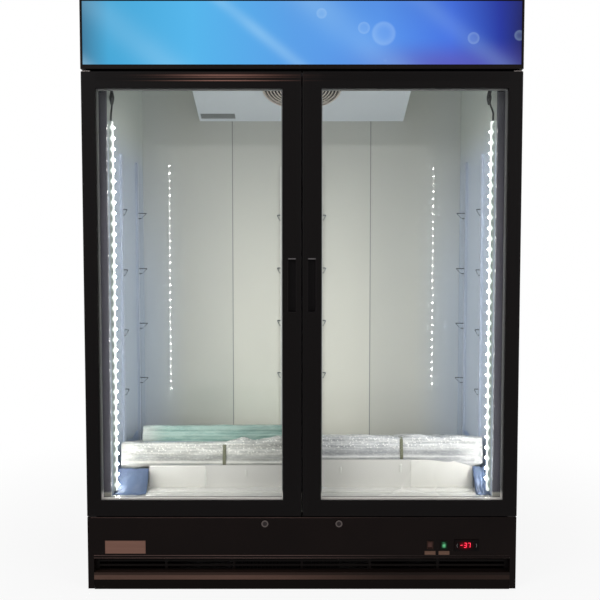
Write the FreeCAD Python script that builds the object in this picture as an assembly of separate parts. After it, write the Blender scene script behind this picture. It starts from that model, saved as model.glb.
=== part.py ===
import FreeCAD, Part
import math
import os

# Two-door upright display freezer, sizes in millimetres.
# The doors face -Y, +X is to the right of someone who looks at them, and Z is zero at the floor.

# Overall size, and the levels from the floor up
cabinet_width = 1350.0
cabinet_depth = 760.0
foot_height = 32.0
base_height = 200.0
door_sill_gap = 5.0
door_height = 1377.0
header_gap = 8.0
header_height = 223.0
overrun = 5.0
fit_gap = 0.3
run_gap = 0.05

# Insulated box
sheet = 1.2
side_wall = 63.0
rear_wall = 80.0
roof_wall = 70.0
floor_wall = 55.0
box_drop = 7.0
roof_drop = 7.0
frame_depth = 14.0
head_depth = 58.0
head_drop = 32.0
mullion_width = 70.0
mullion_depth = 60.0
duct_depth = 35.0
duct_seam = 532.0
duct_lap = 10.0
duct_inlet = 60.0

# Doors
door_thickness = 45.0
door_gap = 3.0
outer_stile = 44.0
inner_stile = 58.5
rail_height = 50.0
edge_radius = 4.0
pane_thickness = 4.0
pane_space = 16.0
pane_setback = 10.0
pane_edge_gap = 1.0
groove_depth = 12.0
spacer_inset = 6.0
spacer_width = 9.0
gasket_thickness = 12.0
gasket_width = 20.0
gasket_inset = 8.5
gasket_hinge_inset = 18.0
rib_count = 4
rib_pitch = 6.0
rib_width = 2.2
rib_depth = 0.9
rib_edge = 7.0

# Recessed handles
handle_width = 28.0
handle_length = 171.0
handle_depth = 24.0
handle_wall = 2.0
handle_rise = 725.5

# Hinges, with the pivot measured from the door's outer edge and front face
hinge_inset = 15.0
hinge_setback = 22.0
hinge_pin_radius = 5.0
hinge_pin_length = 24.0
hinge_nose = 12.0
hinge_edge = 1.0
hinge_flange_thickness = 4.0
hinge_flange_height = 40.0
screw_radius = 2.4
screw_head_radius = 4.2
screw_head_height = 2.0
screw_place_shares = (0.35, 0.80)

# Lit header
header_depth = 50.0
header_wall = 2.0
header_top_lip = 20.0
header_bottom_lip = 13.0
header_side_lip = 7.0
header_boss_width = 60.0
header_boss_place_share = 0.6
sign_thickness = 3.0
lamp_bar_height = 20.0
lamp_bar_depth = 12.0
lamp_bar_margin = 35.0
lamp_bar_shares = (0.27, 0.73)

# Light strips beside the doors, and their leads
led_width = 16.0
led_depth = 10.0
led_head_gap = 102.0
led_rise = 10.0
led_setback = 92.0
lead_radius = 3.0
lead_plug_radius = 8.0
lead_plug_length = 42.0
lead_plug_nose = 5.0
lead_height_shares = (0.0, 0.12, 0.27, 0.50, 0.72, 1.0)
left_lead_sways = (0.0, 0.0, 1.5, 4.5, 4.0, 4.8)
right_lead_sways = (0.0, 0.0, -1.0, 9.0, 13.0, 6.0)

# Shelf supports
pilaster_width = 20.0
pilaster_depth = 8.0
pilaster_head_gap = 187.0
pilaster_rise = 10.0
pilaster_front_place = 250.0
pilaster_duct_gap = 133.0
pilaster_centre_place = 72.0
pilaster_slot_height = 9.0
pilaster_slot_width = 5.0
pilaster_slot_depth = 3.0
pilaster_slot_pitch = 51.0
clip_level_shares = (0.2624, 0.4471, 0.6317, 0.8163)
clip_reach = 14.0
clip_width = 10.0
clip_thickness = 3.5
clip_upright = 16.0

# Deck that slopes down to the rear, and the loose wire shelves that lie on it in film
deck_setback = 161.0
deck_height = 77.0
deck_wall = 4.0
deck_toe = 6.0
deck_right_rise = 19.0
deck_length_share = 0.721
deck_left_margin = 103.0
deck_right_margin = 43.0
shelf_side_gap = 12.0
shelf_centre_gap = 40.0
shelf_back_gap = 2.0
shelf_thickness = 7.0
shelf_apron = 15.5
shelf_bar = 5.0
shelf_columns = 20
shelf_rows = 2
film = 1.5
left_stack_count = 3
right_stack_count = 3
top_stack_margin = 75.0
top_stack_setback = 39.0
top_stack_count = 2
top_stack_loft = 11.0

# Evaporator under the roof
evaporator_width = 782.0
evaporator_sheet = 2.0
evaporator_drop = 199.0
evaporator_slope = 18.9
evaporator_front_gap = 65.0
fan_place_share = 0.5226
fan_radius = 112.0
fan_hole_radius = 120.0
guard_radius = 140.0
guard_thickness = 3.0
guard_wire = 3.0
guard_ring_shares = (0.40, 0.55, 0.70, 0.85)
guard_rib_count = 8
guard_hub_radius = 34.0
fan_motor_radius = 30.0
fan_motor_height = 22.0
fan_shaft_radius = 4.0
fan_shaft_length = 26.0
fan_hub_radius = 24.0
fan_hub_height = 14.0
fan_hub_gap = 9.0
fan_blade_count = 5
fan_blade_width = 46.0
fan_blade_thickness = 2.0
fan_blade_pitch = 25.0
coil_side_gap = 51.0
coil_depth_share = 0.1935
coil_height = 100.0
coil_back_gap = 8.0
coil_end_plate = 3.0
coil_drop = 28.0
coil_fin_count = 34
coil_fin_share = 0.4
coil_fin_depth = 12.0

# Base and control panel
base_setback = 5.0
panel_sheet = 1.5
panel_height = 132.0
kick_rail_height = 23.0
kick_rail_depth = 25.0
kick_sheet = 2.0
kick_cheek_width = 19.0
kick_floor_gap = 3.0
louvre_count = 3
louvre_bays = 6
louvre_margin = 8.0
louvre_bridge = 8.0
louvre_open_share = 0.55
tray_sheet = 2.0
post_size = 40.0
post_side_gap = 5.5
post_front_gap = 13.0
post_rear_gap = 20.0
foot_radius = 24.0
foot_taper = 4.0
rear_recess = 12.0
rear_slot_rows = 5
rear_slot_columns = 8
rear_slot_width = 100.0
rear_slot_height = 6.0
rear_slot_pitch_x = 120.0
rear_slot_pitch_z = 26.0
gland_margin = 115.0
gland_radius = 8.0
gland_flange_radius = 12.0
gland_flange = 6.0
gland_bore_radius = 4.5
gland_tail = 10.0
bend_run_share = 0.45

# Plates without words
badge_margin = 55.0
badge_width = 127.0
badge_height = 41.0
badge_rise = 16.0
plate_thickness = 0.8
label_width = 34.0
label_height = 12.0
label_rise = 12.0

# Door locks in the panel
lock_place = 116.5
lock_drop = 20.0
lock_ring_radius = 11.0
lock_ring = 3.0
lock_sleeve_radius = 9.4
lock_sleeve_length = 25.0
lock_plug_radius = 7.0
lock_plug_setback = 0.5
lock_slot_width = 1.6
lock_slot_height = 8.0
lock_slot_depth = 6.0
lock_cam_width = 8.0
lock_cam_length = 15.0
lock_cam_thickness = 2.0

# Rocker switches
switch_places = (271.0, 227.0)
switch_rise = 43.0
switch_bezel_width = 21.0
switch_bezel_height = 26.0
switch_bezel_thickness = 2.0
switch_wall = 1.5
switch_length = 18.0
rocker_width = 14.4
rocker_height = 16.4
rocker_reach = 9.0
rocker_valley = 1.4
rocker_tail = 5.0
rocker_tail_share = 0.6
rocker_tilt = 10.0
rocker_pivot_setback = 7.0
rocker_axle_radius = 1.5
rocker_axle_reach = 1.2
rocker_sweep_gap = 1.8

# Temperature controller
controller_place = 156.0
controller_width = 77.0
controller_height = 35.0
controller_bezel = 3.0
controller_body_width = 71.0
controller_body_height = 29.0
controller_body_depth = 44.0
controller_window_width = 42.0
controller_window_height = 19.0
controller_window_depth = 1.0
key_width = 8.0
key_height = 13.0
key_proud = 0.8
key_travel = 1.0
key_length = 3.0
key_margin = 11.0

# Condensing unit in the base
condenser_width = 340.0
condenser_depth = 60.0
condenser_height = 175.0
condenser_place = -50.0
condenser_gap = 40.0
condenser_fin_count = 28
condenser_fin_share = 0.4
condenser_fin_depth = 10.0
condenser_shroud = 3.0
condenser_fan_radius = 74.0
condenser_fan_hole = 79.0
condenser_fan_gap = 12.0
condenser_motor_radius = 32.0
condenser_motor_length = 50.0
condenser_motor_foot = 46.0
condenser_shaft_length = 26.0
compressor_place_x = 330.0
compressor_place_y = 120.0
compressor_radius = 72.0
compressor_barrel = 78.0
compressor_dome = 44.0
compressor_plate = 170.0
compressor_plate_thickness = 4.0
compressor_foot_radius = 12.0
compressor_foot_height = 10.0
compressor_foot_inset = 20.0
starter_width = 60.0
starter_depth = 34.0
starter_height = 54.0
starter_sink = 14.0
pipe_radius = 4.0
pipe_bend = 22.0
pipe_stub = 60.0
pipe_side = 46.0
riser_offset = 26.0

# Levels worked out from the sizes above
base_bottom = foot_height
base_top = base_bottom + base_height
door_bottom = base_top + door_sill_gap
door_top = door_bottom + door_height
header_bottom = door_top + header_gap
header_top = header_bottom + header_height
box_bottom = base_top - box_drop
box_top = header_top - roof_drop
floor = box_bottom + floor_wall
ceiling = box_top - roof_wall
head_bottom = door_top - head_drop
panel_bottom = base_top - panel_height
tray_top = base_bottom + tray_sheet
deck_top = floor + deck_height

# Planes across the width and the depth
half = cabinet_width / 2
inner_half = half - side_wall
front = -cabinet_depth / 2
back = cabinet_depth / 2
door_back = front + door_thickness
face = door_back + gasket_thickness
frame_back = face + frame_depth
head_back = face + head_depth
mullion_back = face + mullion_depth
rear_inner = back - rear_wall
duct_face = rear_inner - duct_depth
base_front = front + base_setback
kick_back = base_front + kick_rail_depth
rear_plate = back - rear_recess
header_back = front + header_depth
deck_front = front + deck_setback
deck_length = deck_length_share * (duct_face - deck_front)
deck_back = deck_front + deck_length
deck_slope = math.degrees(math.atan2(deck_height - deck_toe, deck_length))
led_front = front + led_setback
shelf_depth = math.hypot(deck_length, deck_height - deck_toe) - 2 * (film + fit_gap) - shelf_back_gap
pilaster_bottom = floor + pilaster_rise
pilaster_height = head_bottom - pilaster_head_gap - pilaster_bottom
evaporator_nose = head_back + evaporator_front_gap
evaporator_reach = duct_face - evaporator_nose

# Right-hand door: its edges, its glass opening and its pivot
door_inner = door_gap / 2
opening_inner = door_inner + inner_stile
opening_outer = half - outer_stile
opening_bottom = door_bottom + rail_height
opening_top = door_top - rail_height
pane_front = front + pane_setback
unit_thickness = 2 * pane_thickness + pane_space
pivot_x = half - hinge_inset
pivot_y = front + hinge_setback
hinge_plate = door_sill_gap - 2 * fit_gap
handle_x = door_inner + inner_stile / 2
handle_z = door_bottom + handle_rise

X_AXIS = FreeCAD.Vector(1, 0, 0)
Y_AXIS = FreeCAD.Vector(0, 1, 0)
Z_AXIS = FreeCAD.Vector(0, 0, 1)
ORIGIN = FreeCAD.Vector(0, 0, 0)


def point(x, y, z):
    return FreeCAD.Vector(x, y, z)


def block(x0, x1, y0, y1, z0, z1):
    """A box between two corners."""
    return Part.makeBox(x1 - x0, y1 - y0, z1 - z0, point(x0, y0, z0))


def rod(radius, length, start, axis=Z_AXIS):
    """A round bar from a start point along an axis."""
    return Part.makeCylinder(radius, length, start, axis)


def ring(outer, inner, length, start, axis=Z_AXIS):
    """A round bar with a bore."""
    reach = axis * overrun
    bore = rod(inner, length + 2 * overrun, start - reach, axis)
    return rod(outer, length, start, axis).cut(bore)


def prism(outline, x0, x1):
    """A flat outline of (y, z) points carried along X."""
    corners = [point(x0, y, z) for y, z in outline]
    wire = Part.makePolygon(corners + corners[:1])
    return Part.Face(wire).extrude(X_AXIS * (x1 - x0))


def joined(shapes):
    """One solid from pieces that meet."""
    return shapes[0].multiFuse(shapes[1:]).removeSplitter().Solids[0]


def less(shape, tools):
    """A shape with every tool cut away."""
    return shape.cut(Part.makeCompound(tools))


def mirrored(shape):
    """The same piece on the other side of the centre plane."""
    return shape.mirror(ORIGIN, X_AXIS)


def pair(shape):
    """A right-hand piece and its left-hand twin."""
    return [mirrored(shape), shape]


def round_edges(solid, radius, chosen):
    """Round the edges whose middle point passes a test."""
    edges = [edge for edge in solid.Edges if chosen(edge.CenterOfMass)]
    return solid.makeFillet(radius, edges)


def tube(radius, points, bend=None):
    """A round tube along straight runs that tangent arcs join at each inner point."""
    edges = []
    start = points[0]
    for before, corner, after in zip(points, points[1:], points[2:]):
        inward = (before - corner).normalize()
        onward = (after - corner).normalize()
        half_turn = (math.pi - inward.getAngle(onward)) / 2
        shorter = min((before - corner).Length, (after - corner).Length)
        widest = bend_run_share * shorter / math.tan(half_turn)
        bend_radius = widest if bend is None else min(bend, widest)
        setback = bend_radius * math.tan(half_turn)
        arc_start = corner + inward * setback
        arc_end = corner + onward * setback
        middle = (inward + onward).normalize()
        centre_distance = bend_radius / math.cos(half_turn)
        arc_middle = corner + middle * (centre_distance - bend_radius)
        edges.append(Part.LineSegment(start, arc_start).toShape())
        edges.append(Part.Arc(arc_start, arc_middle, arc_end).toShape())
        start = arc_end
    edges.append(Part.LineSegment(start, points[-1]).toShape())
    path = Part.Wire(edges)
    section = Part.Wire(Part.makeCircle(radius, points[0], points[1] - points[0]))
    return path.makePipeShell([section], True, False)


def outer_panels():
    """Painted sheets round the insulated box."""
    inside = half - sheet
    side = block(inside, half, face, back, base_bottom, box_top)
    top = block(-inside, inside, face, back - sheet, box_top - sheet, box_top)
    rear = block(-inside, inside, back - sheet, back, box_bottom, box_top)
    bottom = block(-inside, inside, face, back - sheet, box_bottom, box_bottom + sheet)
    return {"side_panels": pair(side), "top_panel": [top], "rear_panel": [rear], "bottom_panel": [bottom]}


def insulation():
    """Foam slabs between the outer sheets and the liner."""
    low = box_bottom + sheet
    high = box_top - sheet
    wide = inner_half + sheet
    behind = rear_inner + sheet
    side = block(wide, half - sheet, frame_back, back - sheet, low, high)
    rear = block(-wide, wide, behind, back - sheet, low, high)
    roof = block(-wide, wide, head_back, behind, ceiling + sheet, high)
    bed = block(-wide, wide, frame_back, behind, low, floor - sheet)
    return {"insulation": pair(side) + [rear, roof, bed]}


def liner():
    """Inner sheets of the storage space."""
    low = floor - sheet
    high = ceiling + sheet
    side = block(inner_half, inner_half + sheet, frame_back, rear_inner, low, high)
    rear = block(-inner_half - sheet, inner_half + sheet, rear_inner, rear_inner + sheet, low, high)
    roof = block(-inner_half, inner_half, head_back, rear_inner, ceiling, high)
    bed = block(-inner_half, inner_half, frame_back, rear_inner, low, floor)
    return {"liner_panels": pair(side) + [rear, roof], "liner_floor": [bed]}


def duct_panels():
    """Three back panels in front of the air duct, the middle one lapped over its neighbours."""
    low = floor + duct_inlet
    behind = duct_face + sheet
    centre_half = duct_seam / 2
    centre = block(-centre_half, centre_half, duct_face, behind, low, ceiling)
    side = block(centre_half - duct_lap, inner_half, behind, behind + sheet, low, ceiling)
    return {"duct_panels": pair(side) + [centre]}


def face_frame():
    """Frame that the doors seal against: two jambs, the sill, the head beam and the mullion."""
    low = box_bottom + sheet
    high = box_top - sheet
    mullion_half = mullion_width / 2
    jamb = block(inner_half, half - sheet, face, frame_back, low, high)
    sill = block(-inner_half, inner_half, face, frame_back, low, floor)
    head = block(-inner_half, inner_half, face, head_back, head_bottom, high)
    mullion = block(-mullion_half, mullion_half, face, mullion_back, floor, head_bottom)
    return {"face_frame": pair(jamb) + [sill], "head_beam": [head], "centre_mullion": [mullion]}


def pilaster(x0, x1, y0, y1, slot_axis):
    """A slotted upright that carries shelf clips, with its slots in the face that slot_axis looks out of."""
    low = pilaster_bottom
    upright = block(x0, x1, y0, y1, low, low + pilaster_height)
    slots = []
    count = int((pilaster_height - pilaster_slot_height) / pilaster_slot_pitch)
    middle_x = (x0 + x1) / 2
    middle_y = (y0 + y1) / 2
    for index in range(count):
        level = low + pilaster_slot_pitch * (index + 1)
        top = level + pilaster_slot_height
        if slot_axis.x:
            outer = x0 if slot_axis.x < 0 else x1
            reach = pilaster_slot_depth
            y_low = middle_y - pilaster_slot_width / 2
            slots.append(block(outer - reach, outer + reach, y_low, y_low + pilaster_slot_width, level, top))
        else:
            outer = y0 if slot_axis.y < 0 else y1
            reach = pilaster_slot_depth
            x_low = middle_x - pilaster_slot_width / 2
            slots.append(block(x_low, x_low + pilaster_slot_width, outer - reach, outer + reach, level, top))
    return less(upright, slots)


def clip(x, y, level, way):
    """A shelf clip: an upright tab on the pilaster and a finger that carries the shelf's edge."""
    y0 = y - clip_width / 2
    y1 = y + clip_width / 2
    tab_x = sorted((x, x + way * clip_thickness))
    finger_x = sorted((x, x + way * clip_reach))
    tab = block(tab_x[0], tab_x[1], y0, y1, level, level + clip_upright)
    finger = block(finger_x[0], finger_x[1], y0, y1, level, level + clip_thickness)
    return joined([tab, finger])


def shelf_supports():
    """Pilasters on the side walls, the back panel and the mullion, with clips at each shelf level."""
    width = pilaster_width / 2
    wall_x = inner_half - pilaster_depth
    side_places = [front + pilaster_front_place, duct_face - pilaster_duct_gap]
    duct_y = duct_face - pilaster_depth
    mullion_y = mullion_back + pilaster_depth
    uprights = []
    for y in side_places:
        uprights += pair(pilaster(wall_x, inner_half, y - width, y + width, -X_AXIS))
    centre_x = pilaster_centre_place
    uprights += pair(pilaster(centre_x - width, centre_x + width, duct_y, duct_face, -Y_AXIS))
    uprights.append(pilaster(-width, width, mullion_back, mullion_y, Y_AXIS))
    clips = []
    for share in clip_level_shares:
        level = pilaster_bottom + share * pilaster_height
        for y in side_places:
            clips += pair(clip(wall_x, y, level, -1))
        clips += pair(clip(centre_x + width, duct_face - clip_width / 2, level, 1))
        clips += pair(clip(width, mullion_back + clip_width / 2, level, 1))
    return {"shelf_pilasters": uprights, "shelf_clips": clips}


def deck_half(x0, x1, rise):
    """One half of the deck: a hollow wedge that falls to the rear, open underneath."""
    fall = math.tan(math.radians(deck_slope))
    outer = prism([(deck_front, floor), (deck_back, floor), (deck_back, floor + deck_toe + rise),
                   (deck_front, deck_top + rise)], x0, x1)
    near = deck_front + deck_wall
    far = deck_back - deck_wall
    low = floor - overrun
    near_top = deck_top + rise - deck_wall * (1 + fall)
    far_top = near_top - fall * (far - near)
    inside = prism([(near, low), (far, low), (far, far_top), (near, near_top)], x0 + deck_wall, x1 - deck_wall)
    return outer.cut(inside)


def floor_deck():
    """Sloping deck on the floor, in two halves that meet behind the mullion, the right one higher."""
    left = deck_half(deck_left_margin - inner_half, 0, 0)
    right = deck_half(0, inner_half - deck_right_margin, deck_right_rise)
    return {"floor_deck": [left, right]}


def wire_shelf(width, corner):
    """A shelf with bars along its depth, and an apron under its front and rear bars."""
    gap_x = (width - shelf_bar * (shelf_columns + 1)) / shelf_columns
    gap_y = (shelf_depth - shelf_bar * (shelf_rows + 1)) / shelf_rows
    top = shelf_apron + shelf_thickness
    gaps = []
    for column in range(shelf_columns):
        x0 = shelf_bar + column * (gap_x + shelf_bar)
        for row in range(shelf_rows):
            y0 = shelf_bar + row * (gap_y + shelf_bar)
            gaps.append(block(x0, x0 + gap_x, y0, y0 + gap_y, shelf_apron - overrun, top + overrun))
    grid = less(block(0, width, 0, shelf_depth, shelf_apron, top), gaps)
    front_apron = block(0, width, 0, shelf_bar, 0, shelf_apron)
    rear_apron = block(0, width, shelf_depth - shelf_bar, shelf_depth, 0, shelf_apron)
    shelf = joined([grid, front_apron, rear_apron])
    shelf.translate(corner)
    return shelf


def shelf_bundle(x0, x1, y0, bottom, count, loft):
    """Shelves stacked on each other in a sleeve of film; returns the shelves, the sleeve and its top."""
    pitch = shelf_apron + shelf_thickness
    hollow = film + fit_gap
    shelves = []
    for index in range(count):
        shelves.append(wire_shelf(x1 - x0, point(x0, y0 + hollow, bottom + film + index * pitch)))
    y1 = y0 + shelf_depth + 2 * hollow
    top = bottom + count * pitch + 2 * film + fit_gap + loft
    sleeve = block(x0, x1, y0, y1, bottom, top)
    inside = block(x0 - overrun, x1 + overrun, y0 + film, y1 - film, bottom + film, top - film)
    return shelves, sleeve.cut(inside), top


def laid_back(shapes, level):
    """Shapes turned about the deck's front edge at a level, onto its slope."""
    for shape in shapes:
        shape.rotate(point(0, deck_front, level), X_AXIS, -deck_slope)
    return shapes


def loose_shelves():
    """Two bundles side by side on the deck, and a third on the left one, all laid back on its slope."""
    outer = inner_half - shelf_side_gap
    right_level = deck_top + deck_right_rise
    left, left_film, left_top = shelf_bundle(-outer, -shelf_centre_gap, deck_front, deck_top, left_stack_count, 0)
    right, right_film, _ = shelf_bundle(shelf_centre_gap, outer, deck_front, right_level, right_stack_count, 0)
    width = outer - shelf_centre_gap
    x0 = top_stack_margin - inner_half
    upper_front = deck_front + top_stack_setback
    upper, upper_film, _ = shelf_bundle(x0, x0 + width, upper_front, left_top, top_stack_count, top_stack_loft)
    shelves = laid_back(left + upper, deck_top) + laid_back(right, right_level)
    films = laid_back([left_film, upper_film], deck_top) + laid_back([right_film], right_level)
    return {"wire_shelves": shelves, "shelf_wraps": films}


def light_strips():
    """Light strips on the side walls, and the lead that runs from each up into the head beam."""
    low = floor + led_rise
    top = head_bottom - led_head_gap
    strip = block(inner_half - led_depth, inner_half, led_front, led_front + led_width, low, top)
    leads = []
    for way, sways in ((-1, left_lead_sways), (1, right_lead_sways)):
        x = inner_half - led_depth / 2
        y = led_front + led_width / 2
        height = head_bottom - top
        route = []
        for share, sway in zip(lead_height_shares, sways):
            route.append(point(way * (x - sway), y, top + share * height))
        plug = rod(lead_plug_radius, lead_plug_length, route[-2] - Z_AXIS * (lead_plug_length / 2))
        plug = plug.makeChamfer(lead_plug_nose, [edge for edge in plug.Edges if edge.isClosed()])
        head_room = block(-half, half, front, back, head_bottom, box_top)
        leads.append(joined([tube(lead_radius, route), plug]).cut(head_room))
    return {"led_strips": pair(strip), "led_leads": leads}


def fan_rotor(radius, hub_radius, hub_height, shaft_radius, width, count):
    """Fan wheel round local Z: a bored hub with flat blades set at an angle."""
    middle = hub_height / 2
    hub = rod(hub_radius, hub_height, ORIGIN)
    root = hub_radius / 2
    blades = []
    for index in range(count):
        blade = block(root, radius, -width / 2, width / 2, -fan_blade_thickness / 2, fan_blade_thickness / 2)
        blade.rotate(ORIGIN, X_AXIS, fan_blade_pitch)
        blade.translate(Z_AXIS * middle)
        blade.rotate(ORIGIN, Z_AXIS, 360 / count * index)
        blades.append(blade)
    rim = 2 * width
    sweep = rod(radius, 2 * rim, Z_AXIS * (middle - rim))
    rotor = joined([hub] + blades).common(sweep)
    bore = rod(shaft_radius + run_gap, hub_height + 2 * overrun, Z_AXIS * -overrun)
    return rotor.cut(bore).Solids[0]


def fan_guard():
    """Round guard below local Z zero: rings, radial ribs and the hub plate that carries the motor."""
    under = Z_AXIS * -guard_thickness
    pieces = [ring(guard_radius, fan_hole_radius - guard_wire, guard_thickness, under)]
    pieces.append(rod(guard_hub_radius, guard_thickness, under))
    for share in guard_ring_shares:
        radius = share * guard_radius
        pieces.append(ring(radius + guard_wire / 2, radius - guard_wire / 2, guard_thickness, under))
    for index in range(guard_rib_count):
        rib = block(0, fan_hole_radius, -guard_wire / 2, guard_wire / 2, -guard_thickness, 0)
        rib.rotate(ORIGIN, Z_AXIS, 360 / guard_rib_count * index)
        pieces.append(rib)
    return joined(pieces)


def evaporator():
    """Sloping cover under the roof with its fan, guard and coil."""
    slope = math.radians(evaporator_slope)
    rise = math.tan(slope)
    rear_z = ceiling - evaporator_drop
    wall = evaporator_sheet / math.cos(slope)
    nose = evaporator_nose
    half_width = evaporator_width / 2

    def under(y):
        return rear_z + (duct_face - y) * rise

    shell = prism([(duct_face, rear_z), (duct_face, ceiling), (nose, ceiling), (nose, under(nose))],
                  -half_width, half_width)
    deep = duct_face + overrun
    inner_nose = nose + evaporator_sheet
    hollow = prism([(deep, under(deep) + wall), (deep, ceiling + overrun), (inner_nose, ceiling + overrun),
                    (inner_nose, under(inner_nose) + wall)],
                   evaporator_sheet - half_width, half_width - evaporator_sheet)
    fan_y = duct_face - fan_place_share * evaporator_reach
    seat = FreeCAD.Placement(point(0, fan_y, under(fan_y)), FreeCAD.Rotation(X_AXIS, -evaporator_slope))
    hole = rod(fan_hole_radius, 4 * overrun, Z_AXIS * (-2 * overrun))
    motor = joined([
        rod(fan_motor_radius, fan_motor_height, ORIGIN),
        rod(fan_shaft_radius, fan_shaft_length, Z_AXIS * fan_motor_height),
    ])
    rotor = fan_rotor(fan_radius, fan_hub_radius, fan_hub_height, fan_shaft_radius, fan_blade_width, fan_blade_count)
    rotor.translate(Z_AXIS * (fan_motor_height + fan_hub_gap))
    guard = fan_guard()
    for shape in (hole, motor, rotor, guard):
        shape.transformShape(seat.toMatrix())
    cover = shell.cut(hollow).cut(hole)
    return {
        "evaporator_cover": [cover], "evaporator_fan_motor": [motor], "evaporator_fan_blade": [rotor],
        "fan_guard": [guard], "evaporator_coil": [evaporator_coil()],
    }


def fins(x0, x1, y0, y1, z0, z1, count, share, depth):
    """Slots between the fins of a heat exchanger, cut from its front and its rear face."""
    pitch = (x1 - x0) / count
    slots = []
    for index in range(count):
        left = x0 + pitch * (index + (1 - share) / 2)
        right = left + pitch * share
        slots.append(block(left, right, y0 - overrun, y0 + depth, z0, z1))
        slots.append(block(left, right, y1 - depth, y1 + overrun, z0, z1))
    return slots


def evaporator_coil():
    """Finned coil that hangs from the roof by its end plates."""
    x1 = evaporator_width / 2 - coil_side_gap
    y1 = duct_face - coil_back_gap
    y0 = y1 - coil_depth_share * evaporator_reach
    z1 = ceiling - coil_drop
    z0 = z1 - coil_height
    slots = fins(-x1, x1, y0, y1, z0 - overrun, z1 + overrun, coil_fin_count, coil_fin_share, coil_fin_depth)
    core = less(block(-x1, x1, y0, y1, z0, z1), slots)
    plate = block(x1, x1 + coil_end_plate, y0, y1, z0, ceiling)
    return joined([core] + pair(plate))


def header():
    """Light box over the doors: housing, sign panel and two lamp bars."""
    wall = header_wall
    cavity_front = front + wall
    cavity_back = header_back - wall
    cavity_half = half - wall
    low = header_bottom + wall
    high = header_top - wall
    housing = block(-half, half, front, header_back, header_bottom, header_top)
    housing = housing.cut(block(-cavity_half, cavity_half, cavity_front, cavity_back, low, high))
    window = block(
        header_side_lip - half, half - header_side_lip, front - overrun, cavity_front + overrun,
        header_bottom + header_bottom_lip, header_top - header_top_lip,
    )
    middle = (header_bottom + box_top) / 2
    boss_x = half * header_boss_place_share
    size = header_boss_width / 2
    boss = block(boss_x - size, boss_x + size, header_back, face, middle - size, middle + size)
    housing = joined([housing.cut(window)] + pair(boss))
    sign = block(-cavity_half, cavity_half, cavity_front, cavity_front + sign_thickness, low, high)
    bar_half = half - lamp_bar_margin
    bars = []
    for share in lamp_bar_shares:
        level = header_bottom + share * header_height - lamp_bar_height / 2
        bars.append(block(-bar_half, bar_half, cavity_back - lamp_bar_depth, cavity_back,
                          level, level + lamp_bar_height))
    return {"header_housing": [housing], "sign_panel": [sign], "sign_lamps": bars}


def door_frame():
    """Stiles and rails of the right-hand door, grooved for the glass and bored for the hinge pins."""
    def at_front(p):
        return abs(p.y - front) < run_gap

    outer = block(opening_outer, half, front, door_back, door_bottom, door_top)
    outer = round_edges(outer, edge_radius, lambda p: at_front(p) and abs(p.x - half) < run_gap)
    inner = block(door_inner, opening_inner, front, door_back, door_bottom, door_top)
    inner = round_edges(inner, edge_radius, lambda p: at_front(p) and abs(p.x - door_inner) < run_gap)
    top = block(opening_inner, opening_outer, front, door_back, opening_top, door_top)
    bottom = block(opening_inner, opening_outer, front, door_back, door_bottom, opening_bottom)
    groove = block(
        opening_inner - groove_depth, opening_outer + groove_depth, pane_front, pane_front + unit_thickness,
        opening_bottom - groove_depth, opening_top + groove_depth,
    )
    bore_length = hinge_pin_length + overrun
    bore_radius = hinge_pin_radius + run_gap
    low_bore = rod(bore_radius, bore_length, point(pivot_x, pivot_y, door_bottom))
    high_bore = rod(bore_radius, bore_length, point(pivot_x, pivot_y, door_top - bore_length))
    pocket = handle_block(0)
    ribs = []
    for index in range(rib_count):
        level = door_top - rib_edge - rib_pitch * index
        ribs.append(block(opening_inner, opening_outer, front - overrun, front + rib_depth,
                          level - rib_width, level))
    return [
        less(outer, [groove, low_bore, high_bore]), less(inner, [groove, pocket]),
        less(top, [groove] + ribs), bottom.cut(groove),
    ]


def handle_block(wall):
    """The space of a handle cup, drawn in by a wall on every side but the front."""
    reach = handle_width / 2 - wall
    rise = handle_length / 2 - wall
    return block(handle_x - reach, handle_x + reach, front, front + handle_depth - wall,
                 handle_z - rise, handle_z + rise)


def pane_ring(inset):
    """Corners of the glass unit drawn in from the bottom of its groove."""
    draw = groove_depth - inset
    return (opening_inner - draw, opening_outer + draw, opening_bottom - draw, opening_top + draw)


def door_glass():
    """Two panes of the right-hand door, and the spacer bar between them."""
    x0, x1, z0, z1 = pane_ring(pane_edge_gap)
    rear_start = pane_front + pane_thickness + pane_space
    panes = []
    for y in (pane_front, rear_start):
        panes.append(block(x0, x1, y, y + pane_thickness, z0, z1))
    y0 = pane_front + pane_thickness
    a0, a1, b0, b1 = pane_ring(spacer_inset)
    c0, c1, d0, d1 = pane_ring(spacer_inset + spacer_width)
    spacer = block(a0, a1, y0, rear_start, b0, b1)
    spacer = spacer.cut(block(c0, c1, y0 - overrun, rear_start + overrun, d0, d1))
    return panes, spacer


def door_gasket():
    """Seal round the rear of the right-hand door."""
    x0 = door_inner + gasket_inset
    x1 = half - gasket_hinge_inset
    z0 = door_bottom + gasket_inset
    z1 = door_top - gasket_inset
    width = gasket_width
    outer = block(x0, x1, door_back, face - fit_gap, z0, z1)
    inside = block(x0 + width, x1 - width, door_back - overrun, face + overrun, z0 + width, z1 - width)
    return outer.cut(inside)


def doors():
    """Both doors, each with its frame, glass, spacer, gasket and handle cup."""
    panes, spacer = door_glass()
    hollow = handle_block(handle_wall)
    mouth = hollow.copy()
    mouth.translate(Y_AXIS * -overrun)
    cup = less(handle_block(0), [hollow, mouth])
    pieces = {
        "frame": door_frame(), "panes": panes, "spacer": [spacer], "gasket": [door_gasket()], "handle": [cup],
    }
    nodes = {}
    for name, solids in pieces.items():
        nodes["right_door_" + name] = solids
        nodes["left_door_" + name] = [mirrored(solid) for solid in solids]
    return nodes


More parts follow.
